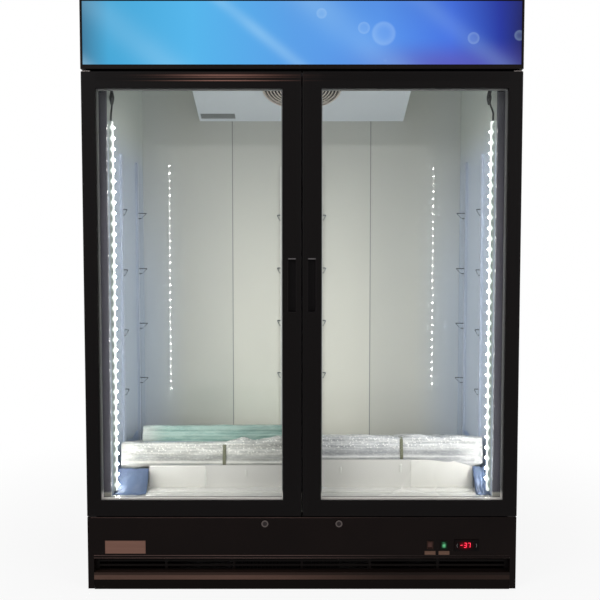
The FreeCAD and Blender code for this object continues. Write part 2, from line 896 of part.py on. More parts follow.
def hinges():
    """Hinge brackets with their pins above and below each door, and the screws that hold them."""
    top = door_bottom - fit_gap
    low = top - hinge_plate
    side = half - hinge_edge
    nose = pivot_y - hinge_nose
    flange_front = face - hinge_flange_thickness
    flange_top = top + hinge_flange_height
    plate = block(pivot_x - hinge_nose, side, nose, face, low, top)
    flange = block(pivot_x, side, flange_front, face, low, flange_top)
    pin = rod(hinge_pin_radius, hinge_pin_length, point(pivot_x, pivot_y, top))
    bracket = joined([plate, flange, pin])
    screw_x = (pivot_x + side) / 2
    screws = []
    for share in screw_place_shares:
        level = top + share * hinge_flange_height
        head = rod(screw_head_radius, screw_head_height, point(screw_x, flange_front, level), -Y_AXIS)
        shank = rod(screw_radius, hinge_flange_thickness, point(screw_x, flange_front, level), Y_AXIS)
        bracket = bracket.cut(rod(screw_radius, hinge_flange_thickness, point(screw_x, flange_front, level), Y_AXIS))
        screws.append(joined([head, shank]))
    middle = point(0, 0, (door_bottom + door_top) / 2)
    brackets = pair(bracket) + pair(bracket.mirror(middle, Z_AXIS))
    fixings = []
    for piece in screws:
        fixings += pair(piece) + pair(piece.mirror(middle, Z_AXIS))
    return {"hinge_brackets": brackets, "hinge_screws": fixings}


def lock_centre(way):
    return point(way * lock_place, base_front, base_top - lock_drop)


def switch_centre(place):
    return point(half - place, base_front, panel_bottom + switch_rise)


def controller_centre():
    return point(half - controller_place, base_front, panel_bottom + switch_rise)


def block_round(centre, width, height, y0, y1):
    """A box centred on a point of the panel, between two depths measured from the panel's face."""
    return block(centre.x - width / 2, centre.x + width / 2, centre.y + y0, centre.y + y1,
                 centre.z - height / 2, centre.z + height / 2)


def base_panel():
    """Control panel under the doors, with its openings for locks, switches and controller."""
    inside = half - panel_sheet
    shell = block(-half, half, base_front, face, panel_bottom, base_top)
    hollow = block(-inside, inside, base_front + panel_sheet, face + overrun,
                   panel_bottom + panel_sheet, base_top - panel_sheet)
    reach = panel_sheet + overrun
    holes = [hollow]
    for way in (-1, 1):
        hole_start = lock_centre(way) - Y_AXIS * overrun
        holes.append(rod(lock_sleeve_radius + fit_gap, reach + overrun, hole_start, Y_AXIS))
    for place in switch_places:
        width = switch_bezel_width - switch_wall
        height = switch_bezel_height - switch_wall
        holes.append(block_round(switch_centre(place), width, height, -overrun, reach))
    holes.append(block_round(controller_centre(), controller_body_width + fit_gap,
                             controller_body_height + fit_gap, -overrun, reach))
    return {"base_panel": [less(shell, holes)]}


def kick_grille():
    """Lower front grille: a plate from the panel to the floor, louvred above its rail, between two hollow cheeks."""
    rail_top = base_bottom + kick_rail_height
    reach = half - kick_cheek_width
    rail = block(-reach, reach, base_front, kick_back - kick_sheet, base_bottom, rail_top)
    plate = block(-reach, reach, kick_back - kick_sheet, kick_back, kick_floor_gap, panel_bottom)
    cheek = block(reach, half, base_front, face, kick_floor_gap, panel_bottom)
    hollow = block(reach + panel_sheet, half - panel_sheet, base_front + panel_sheet, face + overrun,
                   kick_floor_gap - overrun, panel_bottom - panel_sheet)
    behind = block(reach - overrun, half - panel_sheet, kick_back, face + overrun,
                   kick_floor_gap - overrun, panel_bottom + overrun)
    cheek = less(cheek, [hollow, behind])
    pitch = (panel_bottom - rail_top) / louvre_count
    opening = pitch * louvre_open_share
    bay = 2 * (reach - louvre_margin) / louvre_bays
    slots = []
    for row in range(louvre_count):
        level = rail_top + pitch * row + (pitch - opening) / 2
        for column in range(louvre_bays):
            left = louvre_margin - reach + bay * column + louvre_bridge / 2
            right = left + bay - louvre_bridge
            slots.append(block(left, right, kick_back - kick_sheet - overrun, kick_back + overrun,
                               level, level + opening))
    return {"kick_grille": [joined([rail, less(plate, slots)] + pair(cheek))]}


def base_frame():
    """Base tray, the posts between it and the insulated box, and the feet under them."""
    inside = half - panel_sheet
    tray = block(-inside, inside, kick_back, rear_plate, base_bottom, tray_top)
    outer = inside - post_side_gap
    places = (frame_back + post_front_gap, rear_plate - post_rear_gap - post_size)
    posts = []
    feet = []
    for y in places:
        posts += pair(block(outer - post_size, outer, y, y + post_size, tray_top, box_bottom))
        centre = point(outer - post_size / 2, y + post_size / 2, 0)
        taper = Part.makeCone(foot_radius, foot_radius - foot_taper, foot_height, centre)
        feet += pair(taper)
    return {"base_frame": [tray] + posts, "feet": feet}


def rear_grille():
    """Louvred plate behind the condensing unit, with the gland where the supply lead enters."""
    inside = half - sheet
    plate = block(-inside, inside, rear_plate - sheet, rear_plate, tray_top, box_bottom)
    middle = (tray_top + box_bottom) / 2
    holes = []
    for row in range(rear_slot_rows):
        level = middle + rear_slot_pitch_z * (row - (rear_slot_rows - 1) / 2)
        for column in range(rear_slot_columns):
            x = rear_slot_pitch_x * (column - (rear_slot_columns - 1) / 2)
            holes.append(block(x - rear_slot_width / 2, x + rear_slot_width / 2, rear_plate - sheet - overrun,
                               rear_plate + overrun, level - rear_slot_height / 2, level + rear_slot_height / 2))
    seat = point(half - gland_margin, rear_plate, middle)
    inward = seat - Y_AXIS * (sheet + gland_tail)
    length = sheet + gland_tail + gland_flange
    holes.append(rod(gland_radius, sheet + 2 * overrun, seat - Y_AXIS * (sheet + overrun), Y_AXIS))
    gland = joined([rod(gland_radius, length, inward, Y_AXIS),
                    rod(gland_flange_radius, gland_flange, seat, Y_AXIS)])
    gland = gland.cut(rod(gland_bore_radius, length + 2 * overrun, inward - Y_AXIS * overrun, Y_AXIS))
    return {"rear_grille": [less(plate, holes)], "cord_gland": [gland]}


def blank_plates():
    """Badge plate and the two label plates under the switches, all without words."""
    x0 = badge_margin - half
    z0 = panel_bottom + badge_rise
    y0 = base_front - plate_thickness
    plates = [block(x0, x0 + badge_width, y0, base_front, z0, z0 + badge_height)]
    for place in switch_places:
        middle = half - place
        z0 = panel_bottom + label_rise
        plates.append(block(middle - label_width / 2, middle + label_width / 2, y0, base_front,
                            z0, z0 + label_height))
    return {"blank_plates": plates}


def locks():
    """Lock sleeves in the panel, and in each a key plug whose cam turns behind the panel."""
    nodes = {"lock_sleeves": []}
    for way, side in ((-1, "left"), (1, "right")):
        centre = lock_centre(way)
        face_start = centre - Y_AXIS * lock_ring
        length = lock_ring + lock_sleeve_length
        sleeve = joined([rod(lock_ring_radius, lock_ring, face_start, Y_AXIS),
                         rod(lock_sleeve_radius, length, face_start, Y_AXIS)])
        bore = rod(lock_plug_radius + run_gap, length + 2 * overrun, face_start - Y_AXIS * overrun, Y_AXIS)
        nodes["lock_sleeves"].append(sleeve.cut(bore))
        plug_start = face_start + Y_AXIS * lock_plug_setback
        tail = centre.y + lock_sleeve_length + fit_gap
        plug = rod(lock_plug_radius, tail + lock_cam_thickness - plug_start.y, plug_start, Y_AXIS)
        cam_x = sorted((centre.x, centre.x + way * lock_cam_length))
        cam = block(cam_x[0], cam_x[1], tail, tail + lock_cam_thickness,
                    centre.z - lock_cam_width / 2, centre.z + lock_cam_width / 2)
        slot = block_round(plug_start, lock_slot_width, lock_slot_height, -overrun, lock_slot_depth)
        nodes[side + "_lock_plug"] = [joined([plug, cam]).cut(slot)]
    return nodes


def switches():
    """Two rocker switches, one off and one on: bezels with a sleeve behind the panel, and rockers on axles."""
    bezels = []
    nodes = {}
    sleeve_width = switch_bezel_width - 2 * switch_wall
    opening_height = rocker_height + 2 * rocker_sweep_gap
    sleeve_height = opening_height + 2 * switch_wall
    opening_width = rocker_width + 2 * fit_gap
    for place, name, way in zip(switch_places, ("lamp_rocker", "power_rocker"), (-1, 1)):
        centre = switch_centre(place)
        pivot = centre + Y_AXIS * rocker_pivot_setback
        flange = block_round(centre, switch_bezel_width, switch_bezel_height, -switch_bezel_thickness, 0)
        sleeve = block_round(centre, sleeve_width, sleeve_height, 0, switch_length)
        opening = block_round(centre, opening_width, opening_height, -overrun, switch_length + overrun)
        axle_length = rocker_width + 2 * rocker_axle_reach
        axle_start = pivot - X_AXIS * (axle_length / 2)
        bearing_length = axle_length + 2 * run_gap
        bearing = rod(rocker_axle_radius + run_gap, bearing_length, axle_start - X_AXIS * run_gap, X_AXIS)
        bezels.append(less(joined([flange, sleeve]), [opening, bearing]))
        tail_height = rocker_height / 2 * rocker_tail_share
        outline = [
            (-rocker_reach, rocker_height / 2), (rocker_valley - rocker_reach, 0),
            (-rocker_reach, -rocker_height / 2), (rocker_tail, -tail_height), (rocker_tail, tail_height),
        ]
        rocker = prism(outline, -rocker_width / 2, rocker_width / 2)
        rocker.translate(pivot)
        rocker = joined([rocker, rod(rocker_axle_radius, axle_length, axle_start, X_AXIS)])
        rocker.rotate(pivot, X_AXIS, way * rocker_tilt)
        nodes[name] = [rocker]
    nodes["switch_bezels"] = bezels
    return nodes


def controller():
    """Temperature controller: bezel with a display recess, body behind the panel, and two keys."""
    centre = controller_centre()
    bezel = block_round(centre, controller_width, controller_height, -controller_bezel, 0)
    body = block_round(centre, controller_body_width, controller_body_height, 0, controller_body_depth)
    window = block_round(centre, controller_window_width, controller_window_height,
                         -controller_bezel - overrun, controller_window_depth - controller_bezel)
    key_reach = controller_width / 2 - key_margin
    key_front = -controller_bezel - key_proud
    key_back = key_front + key_length
    nodes = {}
    cuts = [window]
    for way, side in ((-1, "left"), (1, "right")):
        place = centre + X_AXIS * (way * key_reach)
        cuts.append(block_round(place, key_width + 2 * fit_gap, key_height + 2 * fit_gap,
                                -controller_bezel - overrun, key_back + key_travel + fit_gap))
        nodes[side + "_controller_key"] = [block_round(place, key_width, key_height, key_front, key_back)]
    nodes["controller"] = [less(joined([bezel, body]), cuts)]
    return nodes


def condenser():
    """Condenser behind the grille, with its shroud, fan wheel and the motor that carries the wheel."""
    x0 = condenser_place - condenser_width / 2
    x1 = condenser_place + condenser_width / 2
    y0 = kick_back + condenser_gap
    y1 = y0 + condenser_depth
    z1 = tray_top + condenser_height
    middle = (tray_top + z1) / 2
    slots = fins(x0, x1, y0, y1, tray_top + condenser_shroud, z1 - condenser_shroud,
                 condenser_fin_count, condenser_fin_share, condenser_fin_depth)
    core = less(block(x0, x1, y0, y1, tray_top, z1), slots)
    shroud = block(x0, x1, y1, y1 + condenser_shroud, tray_top, z1)
    centre = point(condenser_place, y1, middle)
    shroud = shroud.cut(rod(condenser_fan_hole, condenser_shroud + 2 * overrun, centre - Y_AXIS * overrun, Y_AXIS))
    rotor = fan_rotor(condenser_fan_radius, fan_hub_radius, fan_hub_height, fan_shaft_radius,
                      fan_blade_width, fan_blade_count)
    rotor.rotate(ORIGIN, X_AXIS, -90)
    rotor_start = y1 + condenser_shroud + condenser_fan_gap
    rotor.translate(point(condenser_place, rotor_start, middle))
    motor_start = rotor_start + fan_hub_height + condenser_fan_gap
    foot = condenser_motor_foot / 2
    motor = joined([
        rod(condenser_motor_radius, condenser_motor_length, point(condenser_place, motor_start, middle), Y_AXIS),
        rod(fan_shaft_radius, condenser_shaft_length, point(condenser_place, motor_start, middle), -Y_AXIS),
        block(condenser_place - foot / 2, condenser_place + foot / 2, motor_start + foot / 2,
              motor_start + foot / 2 + foot / 2, tray_top, middle),
        block(condenser_place - foot, condenser_place + foot, motor_start, motor_start + condenser_motor_length,
              tray_top, tray_top + condenser_shroud),
    ])
    return {
        "condenser_coil": [joined([core, shroud])], "condenser_fan_blade": [rotor], "condenser_fan_motor": [motor],
    }


def compressor():
    """Hermetic compressor on a footed plate, with its starter box."""
    x = compressor_place_x
    y = compressor_place_y
    plate_low = tray_top + compressor_foot_height
    barrel_low = plate_low + compressor_plate_thickness
    size = compressor_plate / 2
    plate = block(x - size, x + size, y - size, y + size, plate_low, barrel_low)
    feet = []
    for way_x in (-1, 1):
        for way_y in (-1, 1):
            reach = size - compressor_foot_inset
            feet.append(rod(compressor_foot_radius, compressor_foot_height,
                            point(x + way_x * reach, y + way_y * reach, tray_top)))
    barrel_top = barrel_low + compressor_barrel
    barrel = rod(compressor_radius, compressor_barrel, point(x, y, barrel_low))
    dome = Part.makeSphere(compressor_radius, ORIGIN, Z_AXIS, 0, 90, 360)
    squash = FreeCAD.Matrix()
    squash.scale(1, 1, compressor_dome / compressor_radius)
    dome = dome.transformGeometry(squash)
    dome.translate(point(x, y, barrel_top))
    starter_y = y - compressor_radius + starter_sink
    starter = block(x - starter_width / 2, x + starter_width / 2, starter_y - starter_depth, starter_y,
                    barrel_low, barrel_low + starter_height)
    return {"compressor": [joined([plate, barrel, dome, starter] + feet)]}


def refrigerant_pipes():
    """Discharge pipe to the condenser, and two risers that enter the floor of the insulated box."""
    x = compressor_place_x
    y = compressor_place_y
    level = tray_top + compressor_foot_height + compressor_plate_thickness + compressor_barrel / 2
    side = x - compressor_radius
    condenser_side = condenser_place + condenser_width / 2
    condenser_y = kick_back + condenser_gap + condenser_depth / 2
    bend_x = side - pipe_stub
    discharge = [point(side, y, level), point(bend_x, y, level), point(bend_x, condenser_y, level),
                 point(condenser_side, condenser_y, level)]
    risers = []
    for way in (-1, 1):
        start = point(x + way * riser_offset, y + compressor_radius + run_gap, level)
        turn = start + Y_AXIS * pipe_side
        risers.append([start, turn, point(turn.x, turn.y, box_bottom)])
    return {"refrigerant_pipes": [tube(pipe_radius, route, pipe_bend) for route in [discharge] + risers]}


def freezer():
    """Every node of the freezer with its solids."""
    nodes = {}
    for section in (
        outer_panels, insulation, liner, duct_panels, face_frame, shelf_supports, floor_deck, loose_shelves,
        light_strips, evaporator, header, doors, hinges, base_panel, kick_grille, base_frame, rear_grille,
        blank_plates, locks, switches, controller, condenser, compressor, refrigerant_pipes,
    ):
        nodes.update(section())
    return nodes


os.makedirs("parts", exist_ok=True)
for node, solids in freezer().items():
    Part.makeCompound(solids).exportStep("parts/" + node + ".step")
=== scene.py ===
import math

import bpy
import numpy as np
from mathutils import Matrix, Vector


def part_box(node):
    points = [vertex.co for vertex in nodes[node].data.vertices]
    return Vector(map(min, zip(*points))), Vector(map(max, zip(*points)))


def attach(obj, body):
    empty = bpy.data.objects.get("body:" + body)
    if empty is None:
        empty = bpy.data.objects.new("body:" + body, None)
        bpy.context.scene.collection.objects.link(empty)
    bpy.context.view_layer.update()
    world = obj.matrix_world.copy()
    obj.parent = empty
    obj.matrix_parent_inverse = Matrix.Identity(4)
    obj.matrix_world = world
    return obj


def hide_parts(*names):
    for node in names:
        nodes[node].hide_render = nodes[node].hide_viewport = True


# Two-door upright display freezer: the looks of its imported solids, in metres, doors towards -Y.

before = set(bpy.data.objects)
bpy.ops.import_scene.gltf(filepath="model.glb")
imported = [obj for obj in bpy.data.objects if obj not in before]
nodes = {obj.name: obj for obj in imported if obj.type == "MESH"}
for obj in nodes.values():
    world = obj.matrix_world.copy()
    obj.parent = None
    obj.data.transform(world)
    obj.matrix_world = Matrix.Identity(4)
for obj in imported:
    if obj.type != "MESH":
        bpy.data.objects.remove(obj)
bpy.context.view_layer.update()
scene = bpy.context.scene
scene.view_settings.view_transform = "Standard"


# Shader maths

class Field:
    """One socket of a material's tree. Sums and products of fields add Math nodes, and make()
    adds any other node."""

    def __init__(self, tree, socket=None):
        self.tree = tree
        self.socket = socket

    def make(self, kind, sockets=None, out=0, **settings):
        """A node of a kind: its settings first, then its sockets by name or number. Gives one output."""
        node = self.tree.nodes.new(kind)
        for name, value in settings.items():
            if name == "stops":
                set_stops(node.color_ramp, value)
            else:
                setattr(node, name, value)
        for key, value in (sockets or {}).items():
            if isinstance(value, Field):
                self.tree.links.new(value.socket, node.inputs[key])
            else:
                node.inputs[key].default_value = value
        return Field(self.tree, node.outputs[out])

    def math(self, operation, *values):
        return self.make("ShaderNodeMath", dict(enumerate(values)), operation=operation)

    def __add__(self, other):
        return self.math("ADD", self, other)

    def __sub__(self, other):
        return self.math("SUBTRACT", self, other)

    def __rsub__(self, other):
        return self.math("SUBTRACT", other, self)

    def __mul__(self, other):
        return self.math("MULTIPLY", self, other)

    def __truediv__(self, other):
        return self.math("DIVIDE", self, other)

    def __gt__(self, other):
        return self.math("GREATER_THAN", self, other)

    def __lt__(self, other):
        return self.math("LESS_THAN", self, other)

    def __abs__(self):
        return self.math("ABSOLUTE", self)

    __radd__ = __add__
    __rmul__ = __mul__

    def bell(self, middle, width):
        """exp(-((f - middle) / width) squared)."""
        away = (self - middle) / width
        return self.math("POWER", math.e, 0 - away * away)

    def smooth(self, low, high, start=0.0, end=1.0):
        """Rises smoothly from start at low to end at high."""
        return self.make("ShaderNodeMapRange", {0: self, 1: low, 2: high, 3: start, 4: end},
                         interpolation_type="SMOOTHSTEP")

    def fall(self, low, high):
        """Falls smoothly from 1 at low to 0 at high."""
        return self.smooth(low, high, 1.0, 0.0)

    def wave(self, pitch):
        """1 at each multiple of a pitch and 0 halfway between two of them."""
        return 0.5 + 0.5 * self.math("COSINE", self * (2 * math.pi / pitch))

    def ramp(self, stops):
        """A colour for each value; stops are (place, colour)."""
        return self.make("ShaderNodeValToRGB", {0: self}, stops=stops)

    def mix(self, first, second):
        """first where this field is 0 and second where it is 1, for colours."""
        return self.make("ShaderNodeMix", {0: self, 6: first, 7: second}, out=2, data_type="RGBA")


def set_stops(band, stops):
    """Fills a colour ramp from a list of stops."""
    while len(band.elements) < len(stops):
        band.elements.new(1.0)
    for element, (place, colour) in zip(band.elements, stops):
        element.position = place
        element.color = colour


black = (0, 0, 0, 1)


def rgb(red, green, blue):
    """A display colour of 0 to 255 as linear light."""
    parts = [part / 255 for part in (red, green, blue)]
    return tuple(p / 12.92 if p <= 0.04045 else ((p + 0.055) / 1.055) ** 2.4 for p in parts) + (1.0,)


def shaded(colour, share):
    """The same colour, lighter or darker."""
    return tuple(min(1.0, part * share) for part in colour[:3]) + (1.0,)


def grain(place, scale, detail=2.0, roughness=0.5, stretch=(1, 1, 1)):
    """Noise on object coordinates, stretched along some axes."""
    drawn = place.make("ShaderNodeMapping", {"Vector": place, "Scale": stretch})
    return place.make("ShaderNodeTexNoise", {"Vector": drawn, "Scale": scale, "Detail": detail,
                                             "Roughness": roughness})


def sheet_waves(place, long_scale, short_scale, short_share):
    """The slow waves of thin sheet, drawn out upwards, with a share of shorter ones."""
    return grain(place, long_scale, 1.0, 0.4, (1, 1, 0.5)) + short_share * grain(place, short_scale, 1.0, 0.4)


def cells(place, scale, stretch=(1, 1, 1), out="Distance"):
    """Voronoi cells on object coordinates."""
    drawn = place.make("ShaderNodeMapping", {"Vector": place, "Scale": stretch})
    return place.make("ShaderNodeTexVoronoi", {"Vector": drawn, "Scale": scale}, out=out)


def bump(height, strength, distance):
    """A Bump node over a height field."""
    return height.make("ShaderNodeBump", {"Height": height, "Strength": strength, "Distance": distance})


def finish(name, paint, **fixed):
    """A material: paint(place, axes) gives the sockets that vary over the surface, and fixed the others."""
    material = bpy.data.materials.new(name)
    material.use_nodes = True
    tree = material.node_tree
    shader = tree.nodes["Principled BSDF"]
    for key, value in fixed.items():
        shader.inputs[key.replace("_", " ")].default_value = value
    place = Field(tree).make("ShaderNodeTexCoord", out="Object")
    split = [place.make("ShaderNodeSeparateXYZ", {0: place}, out=axis) for axis in "XYZ"]
    for key, value in paint(place, split).items():
        tree.links.new(value.socket, shader.inputs[key])
    return material


# Places and sizes that the finishes and the added pieces follow

sides = (("left", -1), ("right", 1))
# Where the side walls' painted shadow line runs, along Y
wall_shadow_line = 0.184
kick_cheek, kick_front = 0.656, -0.353
duct_lap = 0.2665
bezel_split = 0.426
display_x, display_z = 0.5145, 0.143
board_face = 0.602
mesh_pitch = 0.004
film_line_pitch = 0.0098
film_bubble_size = 0.0085

# The sign's half width, and its beams by their middle across the slant, width and strength
sign_half = 0.668
sign_beams = ((0.86, 0.025, 1.0), (1.02, 0.045, 0.6), (1.27, 0.018, 0.9), (1.44, 0.05, 0.5),
              (1.65, 0.03, 0.45))

# Soft steps in the finishes, each from a start to an end in metres
wall_head = (1.34, 1.52)
top_rail, bottom_rail = (1.566, 1.570), (0.281, 0.285)
rib_foot, rib_head = (1.5840, 1.5855), (1.6105, 1.6115)
# Spans of the jambs' painted light towards the opening and their painted shade towards the head
jamb_lit_span, mullion_span = (0.580, 0.640), (0.2, 0.4)
head_shade_span, sill_span = (1.10, 1.52), (0.292, 0.300)
kick_rail_foot, kick_rail_head = (0.0315, 0.0325), (0.0545, 0.0555)
# Steps for the kick grille's painted light: the rail's highlight darkens over its roll, and painted shade
# starts over the vents
kick_rail_shade_roll, kick_vent_shade_foot = (0.0450, 0.0475), (0.0555, 0.0570)
duct_edge, duct_side = (0.262, 0.268), (0.42, 0.60)
lens_crown = (0.5985, 0.6005)
spacer_lit_sill = (0.30, 0.32)

# Diodes along each strip, those on the right lower by a shift
led_pitch = 0.0338
led_first = 0.3102
led_count = 35
led_shift = 0.0138

# Ribs on the doors' top rails: the upper land, and the lands that carry a painted highlight, by their row and
# strength
rib_pitch = 0.006
rib_land = 1.6029
rib_glints = ((0, 1.0), (1, 0.6), (2.8, 0.9))

# The deck's two sloping halves, which the wrapped shelves lie on
deck_low, deck_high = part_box("floor_deck")
deck_rise = 0.019
deck_toe = 0.006
deck_run = deck_high[1] - deck_low[1]
left_level, right_level = deck_high[2] - deck_rise, deck_high[2]
deck_fall = left_level - deck_low[2] - deck_toe
deck_slope = math.atan2(deck_fall, deck_run)
bundle_end_gap = 0.002
bundle_depth = math.hypot(deck_fall, deck_run) - bundle_end_gap
bundle_tall, upper_low, upper_tall = 0.0708, 0.0748, 0.1271


# Finishes

def painted(name, colour, gloss, dust=0.25, **fixed):
    """Paint on sheet metal: faint cloudy tone, orange peel in the bump, and dust that dulls the gloss."""
    def paint(place, axes):
        cloud = grain(place, 3.5, 4.0, 0.6)
        speck = grain(place, 240.0, 2.0, 0.7)
        tone = (cloud * 0.7 + speck * 0.3).smooth(0.3, 0.7)
        return {
            "Base Color": tone.mix(shaded(colour, 1.0 - dust), shaded(colour, 1.0 + dust)),
            "Roughness": gloss - 0.05 + 0.12 * cloud,
            "Normal": bump(grain(place, 900.0, 1.0), 0.25, 0.00012),
        }
    return finish(name, paint, **fixed)


def brushed(name, colour, gloss, stretch, metal):
    """Drawn or brushed metal: fine streaks along the unstretched axis in tone, roughness and bump."""
    def paint(place, axes):
        streak = grain(place, 180.0, 3.0, 0.6, stretch)
        cloud = grain(place, 9.0, 3.0)
        return {
            "Base Color": (streak * 0.6 + cloud * 0.4).mix(shaded(colour, 0.78), shaded(colour, 1.15)),
            "Roughness": gloss - 0.08 + 0.16 * streak,
            "Normal": bump(streak, 0.3, 0.00006),
        }
    return finish(name, paint, Metallic=metal)


def moulded(name, colour, gloss, grit_scale=1400.0, **fixed):
    """Moulded plastic: fine spark-erosion grit, and a slow change of tone."""
    def paint(place, axes):
        grit = cells(place, grit_scale)
        cloud = grain(place, 14.0, 3.0)
        return {
            "Base Color": cloud.mix(shaded(colour, 0.86), shaded(colour, 1.12)),
            "Roughness": gloss - 0.06 + 0.12 * cloud,
            "Normal": bump(grit, 0.3, 0.0001),
        }
    return finish(name, paint, **fixed)


def enamel(name, colour, gloss, wave):
    """Glossy liner sheet of one colour, with the slow waves of thin sheet in its reflections."""
    def paint(place, axes):
        cloud = grain(place, 2.2, 3.0)
        return {
            "Roughness": gloss + 0.04 * cloud,
            "Normal": bump(sheet_waves(place, 7.0, 38.0, 0.25), 0.35, wave),
        }
    return finish(name, paint, Base_Color=colour)


def liner_paint(place, axes):
    """Glossy side wall, cool in tone, with a painted shadow line near the rear corner that darkens towards
    the floor.
    """
    _, y, z = axes
    cloud = grain(place, 2.2, 3.0)
    # Painted shadow: a dark line near the rear corner, stronger towards the floor
    shadow_line = y.bell(wall_shadow_line, 0.0035) * z.smooth(0.5, 0.95, 0.75, 0.12)
    cool = cloud.mix(rgb(200, 212, 232), rgb(210, 220, 238))
    wall = z.smooth(*wall_head).mix(cool, rgb(224, 229, 222))
    return {
        "Base Color": shadow_line.mix(wall, rgb(84, 100, 116)),
        "Roughness": 0.2 + 0.04 * cloud,
        "Normal": bump(sheet_waves(place, 7.0, 38.0, 0.25), 0.35, 0.0006),
    }


def rack_paint(place, axes):
    """Enamel of the pilasters: as cool as the wall along the sides, and plain white by the middle."""
    cloud = grain(place, 6.0, 3.0)
    tone = abs(axes[0]).smooth(*mullion_span).mix(rgb(230, 229, 225), rgb(188, 198, 216))
    return {"Base Color": (0.85 + 0.2 * cloud).mix(black, tone), "Roughness": 0.36 + 0.08 * cloud}


def kick_paint(place, axes):
    """Base grille paint: black, with a painted warm brown highlight on the rail between the cheeks, mottled,
    darker lower down and fading to the right, and painted shade over the vents."""
    x, y, z = axes
    between = abs(x) < kick_cheek
    # Painted highlight: the rail's face lit warm brown, shaded lower down where it rolls under, and fading to
    # the right
    rail = z.smooth(*kick_rail_foot) * z.fall(*kick_rail_head) * between * (y < kick_front)
    rail = rail * z.smooth(*kick_rail_shade_roll, 1.0, 0.3)
    rail_sheen_mottle = grain(place, 30.0, 4.0, 0.7, (0.2, 1, 2))
    sheen_fade = x.smooth(-0.25, 0.35, 1.0, 0.2)
    # Painted shade: the vents between the cheeks are a little darker
    steel = (between * z.smooth(*kick_vent_shade_foot)).mix(rgb(13, 8, 7), rgb(11, 7, 6))
    return {
        "Base Color": (rail * sheen_fade * (0.75 + 0.4 * rail_sheen_mottle)).mix(steel, rgb(85, 64, 56)),
        "Roughness": 0.5 - 0.12 * rail_sheen_mottle,
        "Normal": bump(grain(place, 800.0, 1.0), 0.25, 0.0001),
    }


def door_paint(place, axes):
    """Satin black door extrusion: die lines along each stile and rail, and a painted warm highlight on the
    lands of the ribs, centred on the left door."""
    x, _, z = axes
    across = grain(place, 220.0, 2.0, 0.6, (1, 1, 0.004))
    along = grain(place, 220.0, 2.0, 0.6, (0.004, 1, 1))
    rail = (z.smooth(*top_rail) + z.fall(*bottom_rail)).smooth(0.0, 1.0)
    line = across + rail * (along - across)
    cloud = grain(place, 4.0, 3.0)
    rib = z.smooth(*rib_foot) * z.fall(*rib_head)
    # Painted highlight: glints on the lands of the ribs, strongest on the left door
    lands = sum(weight * z.bell(rib_land - row * rib_pitch, 0.0011) for row, weight in rib_glints)
    glint = rib * (0.05 + lands) * x.bell(-0.24, 0.15)
    tone = (line * 0.5 + cloud * 0.5).mix(rgb(8, 6, 6), rgb(14, 11, 11))
    return {
        "Base Color": glint.mix(tone, rgb(156, 112, 100)),
        "Roughness": 0.42 + 0.1 * cloud - 0.1 * glint,
        "Normal": bump(line, 0.2, 0.00008),
    }


def jamb_paint(place, axes):
    """Plastic of the face frame: grey-violet jambs, with painted light towards the opening and painted shade
    towards the head, a neutral mullion and a pale sill."""
    x, _, z = axes
    # Painted light: the jambs are lighter towards the opening
    lit_inward = abs(x).fall(*jamb_lit_span)
    cloud = grain(place, 6.0, 3.0)
    upright = (lit_inward * 0.75 + cloud * 0.25).mix(rgb(92, 87, 102), rgb(133, 132, 149))
    # Painted shade: darker towards the head
    upright = z.smooth(*head_shade_span, 0.0, 0.72).mix(upright, rgb(40, 40, 50))
    upright = abs(x).smooth(*mullion_span).mix(rgb(112, 112, 116), upright)
    return {
        "Base Color": z.fall(*sill_span).mix(upright, rgb(226, 222, 214)),
        "Roughness": 0.42 + 0.1 * cloud,
        "Normal": bump(cells(place, 900.0), 0.25, 0.0001),
    }


def sign_film(place, axes):
    """Backlit print: a blue sweep from teal to violet, crossed by straight soft beams, with round glows."""
    x, _, z = axes
    sweep = ((x + sign_half) / (2 * sign_half)).ramp([
        (0.0, rgb(50, 118, 152)), (0.06, rgb(62, 164, 212)), (0.25, rgb(82, 180, 234)),
        (0.48, rgb(88, 158, 230)), (0.68, rgb(86, 148, 234)), (0.84, rgb(66, 112, 224)),
        (0.95, rgb(32, 52, 158)), (1.0, rgb(20, 26, 96)),
    ])
    violet = x.bell(0.44, 0.22) * z.fall(1.63, 1.72)
    base = (violet * 0.75).mix(sweep, rgb(92, 84, 178))
    shade = z.smooth(1.72, 1.84) * x.smooth(-0.3, 0.7)
    base = (shade * 0.18).mix(base, rgb(26, 40, 132))
    slant = x * 0.62 + z * 0.78
    beams = sum(strength * slant.bell(middle, width) for middle, width, strength in sign_beams)
    haze = grain(place, 2.6, 2.0).smooth(0.3, 0.7)
    lit_print = (beams * (0.16 + 0.28 * haze)).mix(base, rgb(178, 224, 250))
    colour = (glows(place, 7.0, 0.62) * 0.22).mix(lit_print, rgb(190, 226, 255))
    colour = (glows(place, 15.0, 0.8) * 0.18).mix(colour, rgb(200, 232, 255))
    return {"Emission Color": colour, "Roughness": 0.2 + 0.06 * haze}


def glows(place, scale, rarity):
    """Round glows, brighter at the rim, in the few cells whose drawn number passes a rarity."""
    away = cells(place, scale, (1, 0, 1))
    chance = cells(place, scale, (1, 0, 1), out="Color")
    chosen = chance.make("ShaderNodeSeparateColor", {0: chance}) > rarity
    return chosen * away.fall(0.24, 0.30) * (0.4 + 0.6 * away.smooth(0.12, 0.27))


